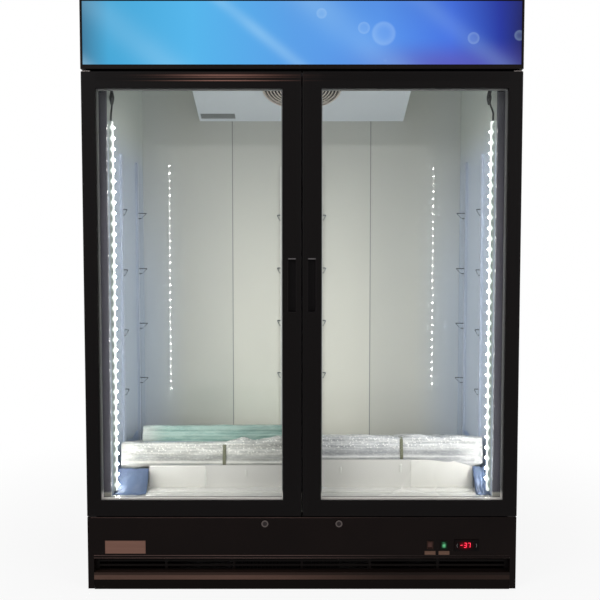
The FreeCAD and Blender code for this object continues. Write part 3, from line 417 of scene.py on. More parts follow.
def glass_pane():
    """Clear toughened glass: nearly all passes straight through, and a little mirrors by Fresnel, with faint
    wipe marks."""
    material = bpy.data.materials.new("door_glass")
    material.use_nodes = True
    tree = material.node_tree
    shader = tree.nodes["Principled BSDF"]
    shader.inputs["Base Color"].default_value = rgb(236, 240, 240)
    shader.inputs["Metallic"].default_value = 1.0
    shader.inputs["Roughness"].default_value = 0.03
    place = Field(tree).make("ShaderNodeTexCoord", out="Object")
    wiped = grain(place, 3.0, 4.0, 0.7, (1, 1, 0.35))
    mirror = place.make("ShaderNodeFresnel", {"IOR": 1.45}) * (0.12 + 0.12 * wiped)
    clear = place.make("ShaderNodeBsdfTransparent", {"Color": (0.986, 0.988, 0.982, 1.0)})
    gloss = Field(tree, shader.outputs[0])
    both = place.make("ShaderNodeMixShader", {0: mirror, 1: clear, 2: gloss})
    tree.links.new(both.socket, tree.nodes["Material Output"].inputs["Surface"])
    return material


def wrap_paint(name, level, foot, tall, colour, deep, band, bubbles, ends, clear, gloss, coat):
    """Film wound round shelves on the slope, by height off the slope: the shelf edges show through as fine
    level lines and a grey band, a painted shadow runs along its foot, the upper film has small air bubbles
    with painted highlights, creases run across it, and between two places along X one end turns to clear
    film on the teal sleeve and to a painted glare of the strip lights on the bubble sleeves."""
    def paint(place, axes):
        x, y, z = axes
        off = (y - deck_low[1]) * math.sin(deck_slope) + (z - level) * math.cos(deck_slope)
        share = (off - foot) / (tall - foot)
        crease = grain(place, 24.0, 4.0, 0.65, (0.45, 1, 2.6)).smooth(0.36, 0.64)
        streak = grain(place, 60.0, 3.0, 0.6, (0.05, 1, 1)).smooth(0.35, 0.65)
        lines = off.wave(film_line_pitch)
        blister = cells(place, 1.0 / film_bubble_size)
        upper = share.smooth(0.46, 0.60)
        # Painted highlights on the bubbles
        bubble_glint = blister.fall(0.24, 0.38) * bubbles * (0.25 + 0.75 * upper)
        tone = (0.16 + 0.30 * crease + 0.30 * streak + 0.24 * lines).smooth(0.15, 0.85)
        shade = band * share.smooth(0.20, 0.28) * share.fall(0.42, 0.50)
        # Painted shadow along the film's foot
        shade = shade + 0.8 * share.bell(0.0, 0.05)
        base = (shade * (0.6 + 0.4 * streak)).mix(tone.mix(deep, colour), shaded(deep, 0.66))
        base = (0.95 * bubble_glint + 0.6 * band * share.bell(0.14, 0.04)).mix(base, shaded(colour, 1.25))
        # At the ends: clear film on the teal sleeve, painted glare of the strip lights on the bubble sleeves
        base = (0.8 * x.fall(*ends)).mix(base, clear)
        height = 0.5 * crease + 0.35 * streak - 0.7 * blister * bubbles * (0.3 + 0.7 * upper) + 0.15 * lines
        return {
            "Base Color": base,
            "Roughness": gloss + 0.2 * crease,
            "Normal": bump(height, 0.6, 0.0030),
        }
    return finish(name, paint, Coat_Weight=coat)


def laid_film(name, colour, deep, gloss):
    """Thin protective film: slow change of tone, with a few straight creases that catch the light."""
    def paint(place, axes):
        cloud = grain(place, 9.0, 3.0, 0.6)
        crease = grain(place, 30.0, 3.0, 0.6, (1, 0.3, 1)).smooth(0.44, 0.60)
        return {
            "Base Color": (0.65 * cloud.smooth(0.3, 0.7) + 0.35 * crease).mix(deep, colour),
            "Roughness": gloss + 0.15 * cloud,
            "Normal": bump(crease, 0.4, 0.0012),
        }
    return finish(name, paint)


def duct_paint(place, axes):
    """Glossy back panels: lighter low down and on the middle one, with a painted cool cast from the side
    walls at the sides, a painted shadow line down each lap and the slow waves of sheet."""
    x, _, z = axes
    middle = abs(x).fall(*duct_edge)
    low = z.fall(0.5, 1.5)
    cloud = grain(place, 2.2, 3.0)
    sheet = (0.35 * middle * low + 0.5 * low + 0.15 * cloud).mix(rgb(205, 206, 199), rgb(242, 239, 227))
    # Painted light: a cool cast from the side walls, stronger at the sides and lower down
    cool = abs(x).smooth(*duct_side) * z.smooth(0.8, 1.4, 0.7, 0.2)
    sheet = cool.mix(sheet, rgb(200, 211, 226))
    # Painted shadow: a dark line down each lap
    shadow_line = abs(x).bell(duct_lap, 0.0016)
    return {
        "Base Color": (shadow_line * 0.75).mix(sheet, rgb(84, 88, 88)),
        "Roughness": 0.022 + 0.016 * cloud,
        "Normal": bump(sheet_waves(place, 6.0, 34.0, 0.22), 0.5, 0.0004),
    }


def plate_paint(place, axes):
    """Bare brushed plates: the large one pale copper, the small ones on the right darker."""
    streak = grain(place, 180.0, 3.0, 0.6, (0.03, 1, 1))
    large = axes[0].fall(-0.1, 0.1)
    tone = large.mix(rgb(94, 70, 58), rgb(113, 82, 71))
    return {
        "Base Color": (0.75 + 0.4 * streak).mix(black, tone),
        "Roughness": 0.3 + 0.15 * streak,
        "Normal": bump(streak, 0.3, 0.00005),
    }


def lit_rocker(name, colour, dark, strength, node):
    """A rocker with a lamp behind its middle: the glow falls off as a bell from the middle of its face."""
    low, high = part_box(node)

    def paint(place, axes):
        across, up = ((low[axis] + high[axis]) / 2 for axis in (0, 2))
        glow = axes[0].bell(across, 0.0046) * axes[2].bell(up, 0.0062)
        mottle = grain(place, 300.0, 2.0)
        return {
            "Base Color": mottle.mix(dark, shaded(dark, 1.5)),
            "Emission Color": glow.mix(shaded(dark, 0.5), colour),
            "Roughness": 0.3 + 0.1 * mottle,
        }
    return finish(name, paint, Emission_Strength=strength, Specular_IOR_Level=0.1)


def bezel_paint(place, axes):
    """Switch bezels, tinted like the rocker in each: brown on the left and dark green on the right."""
    mottle = grain(place, 300.0, 2.0)
    tint = (axes[0] > bezel_split).mix(rgb(42, 27, 22), rgb(9, 26, 15))
    return {"Base Color": (0.7 + 0.4 * mottle).mix(black, tint), "Roughness": 0.4 + 0.1 * mottle}


def controller_paint(place, axes):
    """Black controller plastic, with the red glow of its digits on the window."""
    glow = axes[0].bell(display_x, 0.015) * axes[2].bell(display_z, 0.008)
    grit = cells(place, 1400.0)
    return {
        "Base Color": grit.mix(rgb(8, 6, 6), rgb(11, 8, 8)),
        "Emission Color": glow.mix(black, rgb(170, 0, 28)),
        "Roughness": 0.34 + 0.1 * grit,
        "Normal": bump(grit, 0.3, 0.0001),
    }


def led_board(place, axes):
    """Pale board of a light strip: a lit line along its inner edge that swells at each diode."""
    near = (axes[2] + led_shift * (axes[0] > 0) - led_first).wave(led_pitch)
    pad = near.bell(0.0, 0.06)
    spread = (abs(axes[0]) - board_face) / (0.0014 + 0.0074 * near * near)
    edge = spread.smooth(0.55, 1.05, 1.0, 0.10)
    return {
        "Base Color": pad.mix(rgb(158, 170, 164), rgb(138, 148, 150)),
        "Emission Color": edge.mix(black, rgb(250, 255, 253)),
        "Roughness": 0.45 + 0.1 * pad,
    }


def diode_lens(place, axes):
    """Lit lens of a diode, white hot at its crown and faint at its foot."""
    crown = abs(axes[0]).smooth(*lens_crown, 1.0, 0.03)
    return {"Emission Color": crown.mix(black, rgb(255, 255, 252)), "Roughness": 0.15 + 0.1 * crown}


def lit(name, colour, dark, strength, gloss):
    """Tinted plastic with a lamp behind it, whose light is a little mottled."""
    def paint(place, axes):
        mottle = grain(place, 160.0, 2.0)
        return {
            "Base Color": mottle.mix(dark, colour),
            "Emission Color": mottle.smooth(0.2, 0.8).mix(shaded(colour, 0.55), colour),
            "Roughness": gloss + 0.1 * mottle,
        }
    return finish(name, paint, Emission_Strength=strength)


def trim_paint(place, axes):
    """Black bead under the control panel, with a painted warm grey highlight that fades to the right."""
    bead_sheen_mottle = grain(place, 40.0, 3.0, 0.6, (0.1, 1, 1))
    sheen_fade = axes[0].smooth(-0.15, 0.4, 1.0, 0.15)
    return {
        # Painted highlight: a warm grey sheen along the bead, fading to the right
        "Base Color": (sheen_fade * (0.6 + 0.6 * bead_sheen_mottle)).mix(rgb(16, 11, 10), rgb(84, 66, 62)),
        "Roughness": 0.4 + 0.1 * bead_sheen_mottle,
    }


def spacer_paint(place, axes):
    """Spacer bar between the panes: drawn aluminium, dull up the sides, with a painted highlight along the
    bottom.
    """
    streak = grain(place, 180.0, 3.0, 0.6, (0.05, 1, 0.05))
    # Painted highlight along the bottom spacer
    tone = axes[2].smooth(*spacer_lit_sill).mix(rgb(236, 230, 226), rgb(124, 124, 124))
    return {"Base Color": (0.8 + 0.3 * streak).mix(black, tone), "Roughness": 0.3 + 0.15 * streak}


def mesh_screen(place, axes):
    """Fine dark screen behind the fan guard, standing in for the shade between its wires: a woven grid of
    wires, lighter where two of them cross.
    """
    weave = axes[0].wave(mesh_pitch) * axes[1].wave(mesh_pitch)
    return {
        "Base Color": weave.mix(rgb(64, 57, 55), rgb(98, 89, 85)),
        "Roughness": 0.55 + 0.1 * weave,
        "Normal": bump(weave, 0.4, 0.0004),
    }


def foam_fill(place, axes):
    """Cream polyurethane foam with open cells."""
    pore = cells(place, 320.0)
    return {
        "Base Color": pore.mix(rgb(214, 190, 138), rgb(236, 218, 176)),
        "Roughness": 0.85 + 0.1 * pore,
        "Normal": bump(pore, 0.6, 0.0012),
    }


finishes = {
    "black_steel": painted("black_powder_coat", rgb(13, 7, 6), 0.44, Specular_IOR_Level=0.06),
    "shell_black": painted("shell_powder_coat", rgb(23, 21, 21), 0.42, Specular_IOR_Level=0.16),
    "door_black": finish("door_extrusion_black", door_paint, Specular_IOR_Level=0.06),
    # The handles' plastic is painted lighter than the doors' black to offset the shade in their pockets
    "handle_black": moulded("handle_plastic", rgb(21, 18, 19), 0.42, Specular_IOR_Level=0.06),
    "kick_black": finish("kick_grille_paint", kick_paint, Specular_IOR_Level=0.06),
    "liner_white": finish("liner_enamel", liner_paint),
    "duct_white": finish("duct_panel_enamel", duct_paint, Specular_IOR_Level=0.65),
    "deck_white": enamel("deck_enamel", rgb(236, 234, 231), gloss=0.25, wave=0.0010),
    "deck_plate": enamel("deck_plate_enamel", rgb(249, 247, 243), gloss=0.25, wave=0.0010),
    "cover_white": enamel("evaporator_cover_enamel", rgb(235, 240, 245), gloss=0.28, wave=0.0008),
    "frame_grey": finish("face_frame_plastic", jamb_paint),
    "rack_white": finish("pilaster_enamel", rack_paint),
    "clip_steel": brushed("clip_wire", rgb(82, 90, 98), 0.4, (1, 1, 0.1), metal=0.4),
    "lead_black": moulded("lead_rubber", rgb(34, 36, 38), 0.5),
    "bezel_black": finish("bezel_plastic", bezel_paint, Specular_IOR_Level=0.06),
    "lamp_white": finish("strip_board", led_board, Emission_Strength=0.95),
    "diode": finish("diode_lens", diode_lens, Base_Color=rgb(240, 245, 248), Emission_Strength=90.0),
    "line_white": lit("lit_line", rgb(255, 255, 255), rgb(226, 234, 232), strength=0.95, gloss=0.3),
    "condenser_black": painted("condenser_paint", rgb(20, 19, 19), 0.5, Specular_IOR_Level=0.1),
    "strip_bare": brushed("bare_strip", rgb(150, 153, 154), 0.4, (0.05, 1, 1), metal=0.5),
    "coil_aluminium": brushed("fin_aluminium", rgb(168, 172, 175), 0.36, (1, 1, 0.05), metal=1.0),
    "motor_grey": painted("motor_paint", rgb(46, 47, 50), 0.45),
    "blade_plastic": moulded("fan_blade_plastic", rgb(44, 44, 44), 0.5),
    "guard_wire": painted("guard_wire_coat", rgb(224, 213, 202), 0.4, dust=0.08),
    "mesh_dark": finish("guard_mesh", mesh_screen, Specular_IOR_Level=0.2),
    "sign_acrylic": finish("sign_film", sign_film, Base_Color=rgb(8, 10, 16), Emission_Strength=1.0,
                           Specular_IOR_Level=0.1),
    "lamp_bar": lit("sign_lamp_tube", rgb(236, 242, 246), rgb(200, 206, 210), strength=1.0, gloss=0.4),
    "glass": glass_pane(),
    "spacer_aluminium": finish("spacer_bar", spacer_paint, Metallic=0.3),
    "gasket_black": moulded("gasket_vinyl", rgb(26, 26, 28), 0.55, 700.0, Specular_IOR_Level=0.3),
    "hinge_steel": brushed("hinge_zinc", rgb(98, 92, 90), 0.34, (0.1, 1, 1), metal=0.9),
    "plate_copper": finish("bare_plate_copper", plate_paint, Metallic=0.3, Specular_IOR_Level=0.15),
    "lock_chrome": brushed("lock_chrome", rgb(86, 78, 76), 0.22, (1, 1, 0.2), metal=1.0),
    "plug_steel": brushed("lock_plug_steel", rgb(50, 45, 45), 0.3, (1, 1, 0.2), metal=1.0),
    "rocker_brown": lit_rocker("rocker_brown", rgb(52, 34, 30), rgb(46, 28, 24), 0.6, "lamp_rocker"),
    "rocker_green": lit_rocker("rocker_green", rgb(110, 214, 150), rgb(8, 26, 14), 0.8, "power_rocker"),
    "controller_black": finish("controller_plastic", controller_paint, Emission_Strength=0.5,
                               Specular_IOR_Level=0.04),
    "key_grey": moulded("key_rubber", rgb(11, 9, 9), 0.45, Specular_IOR_Level=0.04),
    "pipe_copper": brushed("pipe_copper", rgb(184, 118, 84), 0.32, (1, 1, 0.05), metal=1.0),
    "foam": finish("foam_fill", foam_fill),
    # The bubble sleeves' lighter end colour is painted glare of the strip lights; the teal sleeve's is clear
    # film
    "left_wrap": wrap_paint("left_bubble_film", left_level, 0.0, bundle_tall, rgb(232, 231, 226),
                            rgb(176, 178, 176), band=0.8, bubbles=1.0, ends=(-0.612, -0.535),
                            clear=rgb(222, 222, 218), gloss=0.2, coat=0.3),
    "right_wrap": wrap_paint("right_bubble_film", right_level, 0.0, bundle_tall, rgb(232, 232, 234),
                             rgb(176, 178, 184), band=0.8, bubbles=1.0, ends=(0.612, 0.500),
                             clear=rgb(222, 222, 221), gloss=0.2, coat=0.3),
    "teal_wrap": wrap_paint("teal_film", left_level, upper_low, upper_tall, rgb(160, 188, 180),
                            rgb(116, 154, 146), band=0.0, bubbles=0.35, ends=(-0.53, -0.45),
                            clear=rgb(196, 202, 198), gloss=0.14, coat=0.4),
    # The floor film is the same film as on the walls, painted darker for the shade beside the deck
    "film_blue_shaded": laid_film("blue_floor_film", rgb(84, 104, 138), rgb(68, 86, 120), 0.35),
    "film_pale": laid_film("blue_wall_film", rgb(178, 196, 226), rgb(152, 174, 212), 0.3),
    "strip_white": laid_film("deck_strip_film", rgb(246, 246, 242), rgb(230, 230, 226), 0.3),
    "lip_highlight_grey": moulded("handle_lip", rgb(84, 80, 81), 0.35, Specular_IOR_Level=0.3),
    "trim_black": finish("panel_lip", trim_paint, Specular_IOR_Level=0.1),
    "skirt_black": moulded("skirt_rubber", rgb(11, 7, 6), 0.6, Specular_IOR_Level=0.04),
    "tie_olive": moulded("tie_strap", rgb(118, 120, 96), 0.5),
    "digit_red": lit("digit_lamp", rgb(255, 40, 70), rgb(150, 16, 30), strength=2.6, gloss=0.3),
    "mark_white": moulded("key_mark", rgb(120, 118, 116), 0.4),
    "foot_black": moulded("foot_rubber", rgb(26, 24, 24), 0.6),
}

node_finishes = {
    "black_steel": ["base_panel", "header_housing", "base_frame", "bottom_panel"],
    "shell_black": ["side_panels", "top_panel", "rear_panel", "rear_grille"],
    "door_black": ["left_door_frame", "right_door_frame"],
    "handle_black": ["left_door_handle", "right_door_handle"],
    "bezel_black": ["switch_bezels"],
    "kick_black": ["kick_grille"],
    "liner_white": ["liner_panels"],
    "duct_white": ["duct_panels"],
    "deck_white": ["floor_deck", "liner_floor"],
    "cover_white": ["evaporator_cover"],
    "frame_grey": ["face_frame", "centre_mullion", "head_beam"],
    "rack_white": ["shelf_pilasters", "wire_shelves"],
    "clip_steel": ["shelf_clips"],
    "lead_black": ["cord_gland", "led_leads"],
    "lamp_white": ["led_strips"],
    "coil_aluminium": ["evaporator_coil"],
    "condenser_black": ["condenser_coil"],
    "motor_grey": ["evaporator_fan_motor", "condenser_fan_motor", "compressor"],
    "blade_plastic": ["evaporator_fan_blade", "condenser_fan_blade"],
    "guard_wire": ["fan_guard"],
    "sign_acrylic": ["sign_panel"],
    "lamp_bar": ["sign_lamps"],
    "glass": ["left_door_panes", "right_door_panes"],
    "spacer_aluminium": ["left_door_spacer", "right_door_spacer"],
    "gasket_black": ["left_door_gasket", "right_door_gasket"],
    "hinge_steel": ["hinge_brackets", "hinge_screws"],
    "plate_copper": ["blank_plates"],
    "lock_chrome": ["lock_sleeves"],
    "plug_steel": ["left_lock_plug", "right_lock_plug"],
    "rocker_brown": ["lamp_rocker"],
    "rocker_green": ["power_rocker"],
    "controller_black": ["controller"],
    "key_grey": ["left_controller_key", "right_controller_key"],
    "pipe_copper": ["refrigerant_pipes"],
    "foam": ["insulation"],
    "left_wrap": ["shelf_wraps"],
    "foot_black": ["feet"],
}
for finish_name, names in node_finishes.items():
    for name in names:
        mesh = nodes[name].data
        mesh.materials.clear()
        mesh.materials.append(finishes[finish_name])


# Surfaces

def quads(rows, columns, wrap_rows=False, wrap_columns=False):
    """Faces between neighbouring points of a grid of rows and columns."""
    row, column = np.arange(rows - (not wrap_rows)), np.arange(columns - (not wrap_columns))
    row, column = np.meshgrid(row, column, indexing="ij")
    here, below = row * columns, (row + 1) % rows * columns
    right = (column + 1) % columns
    return np.stack([here + column, here + right, below + right, below + column], -1).reshape(-1, 4)


def grid(points, wrap_rows=False, wrap_columns=False):
    """A surface through a grid of points in rows and columns."""
    return points.reshape(-1, 3), quads(*points.shape[:2], wrap_rows, wrap_columns).tolist()


def full_turn(steps):
    """Angles evenly round a circle."""
    return np.linspace(0, 2 * math.pi, steps, endpoint=False)


def ring_solid(rings):
    """Faces of a closed body whose rows are closed rings, with a flat cap on the first and the last."""
    rows, columns = rings.shape[:2]
    caps = [list(range(columns))[::-1], list(range((rows - 1) * columns, rows * columns))]
    points, faces = grid(rings, wrap_columns=True)
    return points, faces + caps


def copies(points, faces, places):
    """One shape at each of several places."""
    moved = (points[None] + places[:, None]).reshape(-1, 3)
    starts = np.arange(len(places)) * len(points)
    return moved, [[index + start for index in face] for start in starts.tolist() for face in faces]


def together(shapes):
    """Several (points, faces) as one."""
    starts = np.cumsum([0] + [len(points) for points, _ in shapes]).tolist()
    faces = [[index + start for index in face] for (_, own), start in zip(shapes, starts) for face in own]
    return np.concatenate([points for points, _ in shapes]), faces


def piece(name, shape, finish_name, body="cabinet", sharp=None, smooth=True, outward=True):
    """An object from points and faces, turned outwards, that rides on a body. Edges sharper than an angle in
    degrees stay sharp, so that flat faces stay flat."""
    points, faces = shape
    mesh = bpy.data.meshes.new(name)
    mesh.from_pydata(points.tolist(), [], faces)
    mesh.validate()
    mesh.update()
    if outward:
        mesh.calc_loop_triangles()
        corners = np.empty(len(mesh.loop_triangles) * 3, int)
        mesh.loop_triangles.foreach_get("vertices", corners)
        a, b, c = (points - points.mean(0))[corners].reshape(-1, 3, 3).transpose(1, 0, 2)
        if (a * np.cross(b, c)).sum() < 0:
            mesh.flip_normals()
    if smooth:
        mesh.shade_smooth()
    if sharp:
        mesh.set_sharp_from_angle(angle=math.radians(sharp))
    mesh.materials.append(finishes[finish_name])
    made = bpy.data.objects.new(name, mesh)
    scene.collection.objects.link(made)
    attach(made, body)
    return made


def rounded_loop(width, height, radius, per_corner=6):
    """Corners of a rounded rectangle round the origin, anticlockwise, with their outward directions."""
    turn = (np.arange(4)[:, None] * (math.pi / 2) + np.linspace(0, math.pi / 2, per_corner)[None]).ravel()
    out = np.stack([np.cos(turn), np.sin(turn)], -1)
    corner = np.repeat(np.array([[1, 1], [-1, 1], [-1, -1], [1, -1]], float), per_corner, 0)
    core = np.array([width / 2 - radius, height / 2 - radius])
    return corner * core + out * radius, out


def plate(x0, x1, z0, z1, y_front, y_back, radius, bevel):
    """A flat plate that faces -Y: a rounded rectangle at four depths, the last two drawn in by its bevel."""
    loop, out = rounded_loop(x1 - x0, z1 - z0, radius)
    middle = np.array([(x0 + x1) / 2, (z0 + z1) / 2])
    steps = [(y_back, 0.0), (y_front + bevel, 0.0), (y_front + bevel * 0.3, bevel * 0.3), (y_front, bevel)]
    rings = []
    for y, drawn in steps:
        flat = loop - out * drawn + middle
        rings.append(np.stack([flat[:, 0], np.full(len(flat), y), flat[:, 1]], -1))
    return ring_solid(np.array(rings))


def lathe(profile, steps=16, closed=False):
    """A body round local Z: (radius, height) pairs turned about the axis, capped at both ends, or a ring if
    the profile is closed."""
    turn = full_turn(steps)
    radius, height = np.array(profile, float).T
    rings = np.stack([radius[:, None] * np.cos(turn), radius[:, None] * np.sin(turn),
                      np.repeat(height[:, None], steps, 1)], -1)
    if closed:
        return grid(rings, True, True)
    return ring_solid(rings)


def turned(shape, columns, origin=(0, 0, 0)):
    """A shape whose local axes become three given directions, moved to an origin."""
    points, faces = shape
    return points @ np.array(columns, float) + np.array(origin, float), faces


def hoop(radius, wire, steps=72, around=8):
    """A ring of round wire round local Z: torus with a wire radius."""
    turn, lap = full_turn(steps)[:, None], full_turn(around)[None]
    reach = radius + wire * np.cos(lap)
    height = np.broadcast_to(wire * np.sin(lap), (steps, around))
    return grid(np.stack([reach * np.cos(turn), reach * np.sin(turn), height], -1), True, True)


def bar(start, end, radius, around=8):
    """A round bar between two points: a circle carried along the line."""
    start, end = np.array(start, float), np.array(end, float)
    axis = (end - start) / np.linalg.norm(end - start)
    side = np.cross(axis, [0, 0, 1.0] if abs(axis[2]) < 0.9 else [1.0, 0, 0])
    side /= np.linalg.norm(side)
    other = np.cross(axis, side)
    lap = full_turn(around)[:, None]
    circle = radius * (np.cos(lap) * side + np.sin(lap) * other)
    return ring_solid(np.stack([start + circle, end + circle]))


# Light strips: a domed lens over each diode, and a lit line along the board

strip_low, strip_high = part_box("led_strips")
strip_y = (strip_low[1] + strip_high[1]) / 2
strip_thickness = 0.010
lens_profile = [(0.0080, 0.0), (0.0060, 0.0012), (0.0046, 0.0028), (0.0034, 0.0046), (0.0022, 0.0062),
                (0.0008, 0.0072)]
lens_sides = 14
lens_end_gap = 0.009
line_inset = 0.0105
line_end_gap = 0.001
line_radius = 0.0020
line_sides = 12


def diode_row(way):
    """Lenses on a strip's inner face, one each led_pitch: a flared foot drawn up to a crown."""
    inner = way * (strip_high[0] - strip_thickness)
    facing = [(0, 1, 0), (0, 0, 1), (-way, 0, 0)] if way < 0 else [(0, 0, 1), (0, 1, 0), (-way, 0, 0)]
    points, faces = turned(lathe(lens_profile, lens_sides), facing, (inner, strip_y, 0))
    levels = led_first - led_shift * (way > 0) + led_pitch * np.arange(led_count)
    levels = levels[levels > strip_low[2] + lens_end_gap]
    return copies(points, faces, np.stack([0 * levels, 0 * levels, levels], -1))


def lit_line(way):
    """A thin round line along a strip's inner face: a circle carried up it."""
    x = way * (strip_high[0] - line_inset)
    bottom, top = strip_low[2] + line_end_gap, strip_high[2] - line_end_gap
    return bar((x, strip_y, bottom), (x, strip_y, top), line_radius, line_sides)


for side, way in sides:
    piece(f"{side}_diodes", diode_row(way), "diode")
    piece(f"{side}_lit_line", lit_line(way), "line_white")


# Leads from the strips up into the head beam, with their plugs: shares of the height, and sways along X

lead_diameter = 0.006
lead_inset = 0.005
lead_shares = (0.0, 0.12, 0.27, 0.50, 0.72, 1.0)
lead_sways = {"left": (0.0, 0.0, 0.0015, 0.0045, 0.0040, 0.0048),
              "right": (0.0, 0.0, -0.0010, 0.0090, 0.0130, 0.0060)}
plug_knot = 4
plug_profile = [(0.0034, -0.022), (0.0042, -0.021), (0.0075, -0.006), (0.0080, -0.004), (0.0080, 0.004),
                (0.0072, 0.006), (0.0042, 0.021), (0.0034, 0.022)]


def lead(side, way):
    """The lead of one strip: a smooth line through the route's points, and a tapered plug on it."""
    x = way * (strip_high[0] - lead_inset)
    bottom, top = strip_high[2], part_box("head_beam")[0][2]
    route = [(x - way * sway, strip_y, bottom + share * (top - bottom))
             for share, sway in zip(lead_shares, lead_sways[side])]
    curve = bpy.data.curves.new(f"{side}_led_lead", "CURVE")
    curve.dimensions = "3D"
    curve.bevel_depth = lead_diameter / 2
    curve.bevel_resolution = 4
    curve.use_fill_caps = True
    spline = curve.splines.new("NURBS")
    spline.points.add(len(route) - 1)
    for knot, place in zip(spline.points, route):
        knot.co = (*place, 1.0)
    spline.order_u = 3
    spline.use_endpoint_u = True
    curve.materials.append(finishes["lead_black"])
    line = bpy.data.objects.new(f"{side}_led_lead", curve)
    scene.collection.objects.link(line)
    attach(line, "cabinet")
    plug_shape = turned(lathe(plug_profile), np.eye(3), route[plug_knot])
    plug = piece(f"{side}_led_plug", plug_shape, "lead_black")
    return line


leads = [lead(side, way) for side, way in sides]
for line in leads:
    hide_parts("led_leads")


# Fan guard of round wire under the sloping evaporator cover, as (radius, height) profiles round its axis

guard_axis = np.array([0.0, 0.3239, 0.9461])
guard_place = np.array([0.0, 0.0220, 1.6522])
guard_across = np.cross(guard_axis, (1, 0, 0))
guard_frame = [(1, 0, 0), guard_across, guard_axis]
guard_sides = 72
hoop_first, hoop_end, hoop_step = 0.0425, 0.130, 0.0115
hoop_wire = 0.0024
spoke_count = 8
spoke_start, spoke_end = 0.03, 0.136
spoke_lift = 0.0002
spoke_radius = 0.0015
drum_height = 0.0124
rim_profile = [(0.138, -0.0004), (0.140, -0.0012), (0.140, -0.0132), (0.138, -0.0146), (0.133, -0.0148),
               (0.133, -0.0004)]
hub_profile = [(0.034, -0.0005), (0.034, -0.0022), (0.030, -0.0034), (0.020, -0.0038), (0.004, -0.0038)]
hub_sides = 40
mesh_profile = [(0.1325, -0.0060), (0.1325, -0.0068), (0.1310, -0.0072), (0.0020, -0.0072)]


def wire_guard():
    """Concentric wire hoops on spokes round a dished hub plate, on a drum that stands proud of the cover."""
    hoops = [hoop(radius, hoop_wire) for radius in np.arange(hoop_first, hoop_end, hoop_step)]
    turn = full_turn(spoke_count)
    rays_out = np.stack([np.cos(turn), np.sin(turn), 0 * turn], -1)
    lift = np.array([0, 0, spoke_lift])
    spokes = [bar(spoke_start * ray + lift, spoke_end * ray + lift, spoke_radius) for ray in rays_out]
    points, faces = together(hoops + spokes + [lathe(hub_profile, hub_sides)])
    lowered = (points - (0, 0, drum_height), faces)
    rim = lathe(rim_profile, guard_sides, closed=True)
    return turned(together([lowered, rim]), guard_frame, guard_place)


guard = piece("wire_fan_guard", wire_guard(), "guard_wire", sharp=40)
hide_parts("fan_guard")
# A dark screen under the guard stands in for the shade seen between its wires
mesh_disc = turned(lathe(mesh_profile, guard_sides), guard_frame, guard_place)
piece("guard_mesh", mesh_disc, "mesh_dark")


# Bubble film round the loose shelves, with its ties

shelf_pitch = 0.0225
bubble_pitch = 0.011
upper_setback = 0.039
bundle_corner = 0.009
left_tie, right_tie, no_tie = -0.258, 0.332, -9.0
sleeve_rows, sleeve_columns = 210, 180
crease_count = 14
end_share = 0.03
end_opening, end_depth = 0.16, 0.12
end_gap, end_bulge = 0.002, 0.003
wrap_thickness = 0.0005
wrap_slack, least_slack = 0.0032, 0.0006
edge_press = 0.0016
tie_squeeze, tie_spread = 0.0024, 0.012
sag_reach, sag_height = 0.07, 0.02


def section(width, height, radius, count):
    """A rounded rectangle sampled evenly along its outline, from the top of its rear side, with normals."""
    loop, out = rounded_loop(width, height, radius, 10)
    closed = np.concatenate([loop, loop[:1]])
    normal = np.concatenate([out, out[:1]])
    gone = np.concatenate([[0], np.cumsum(np.linalg.norm(np.diff(closed, axis=0), axis=1))])
    even = np.linspace(0, gone[-1], count, endpoint=False)
    line = np.stack([np.interp(even, gone, closed[:, k]) for k in (0, 1)], -1)
    facing = np.stack([np.interp(even, gone, normal[:, k]) for k in (0, 1)], -1)
    return line, facing / np.linalg.norm(facing, axis=1, keepdims=True)


def laid_back(points, level):
    """Points (x, along the slope, off the slope) on a half of the deck, from its front edge at a level."""
    x, along, off = np.moveaxis(points, -1, 0)
    y = deck_low[1] + along * math.cos(deck_slope) + off * math.sin(deck_slope)
    z = level - along * math.sin(deck_slope) + off * math.cos(deck_slope)
    return np.stack([x, y, z], -1)


def creases(draws, u, v):
    """A sum of sines along both ways of a sheet, every other one folded to a sharp ridge."""
    height = np.zeros((len(u), len(v)))
    for lap in range(crease_count):
        wave_u = draws.uniform(1, 8)
        wave_v = int(draws.integers(1, 12))
        phase = draws.uniform(0, 2 * math.pi)
        swing = np.sin(2 * math.pi * (wave_u * u[:, None] + wave_v * v[None]) + phase)
        ridge = swing if lap % 2 else 1 - 2 * np.abs(swing)
        height += draws.uniform(0.3, 1.0) / (1 + 0.08 * wave_u) * ridge
    return height


def bell(x, place, width):
    """exp(-((x - place) / width) squared)."""
    return np.exp(-((x - place) / width) ** 2)


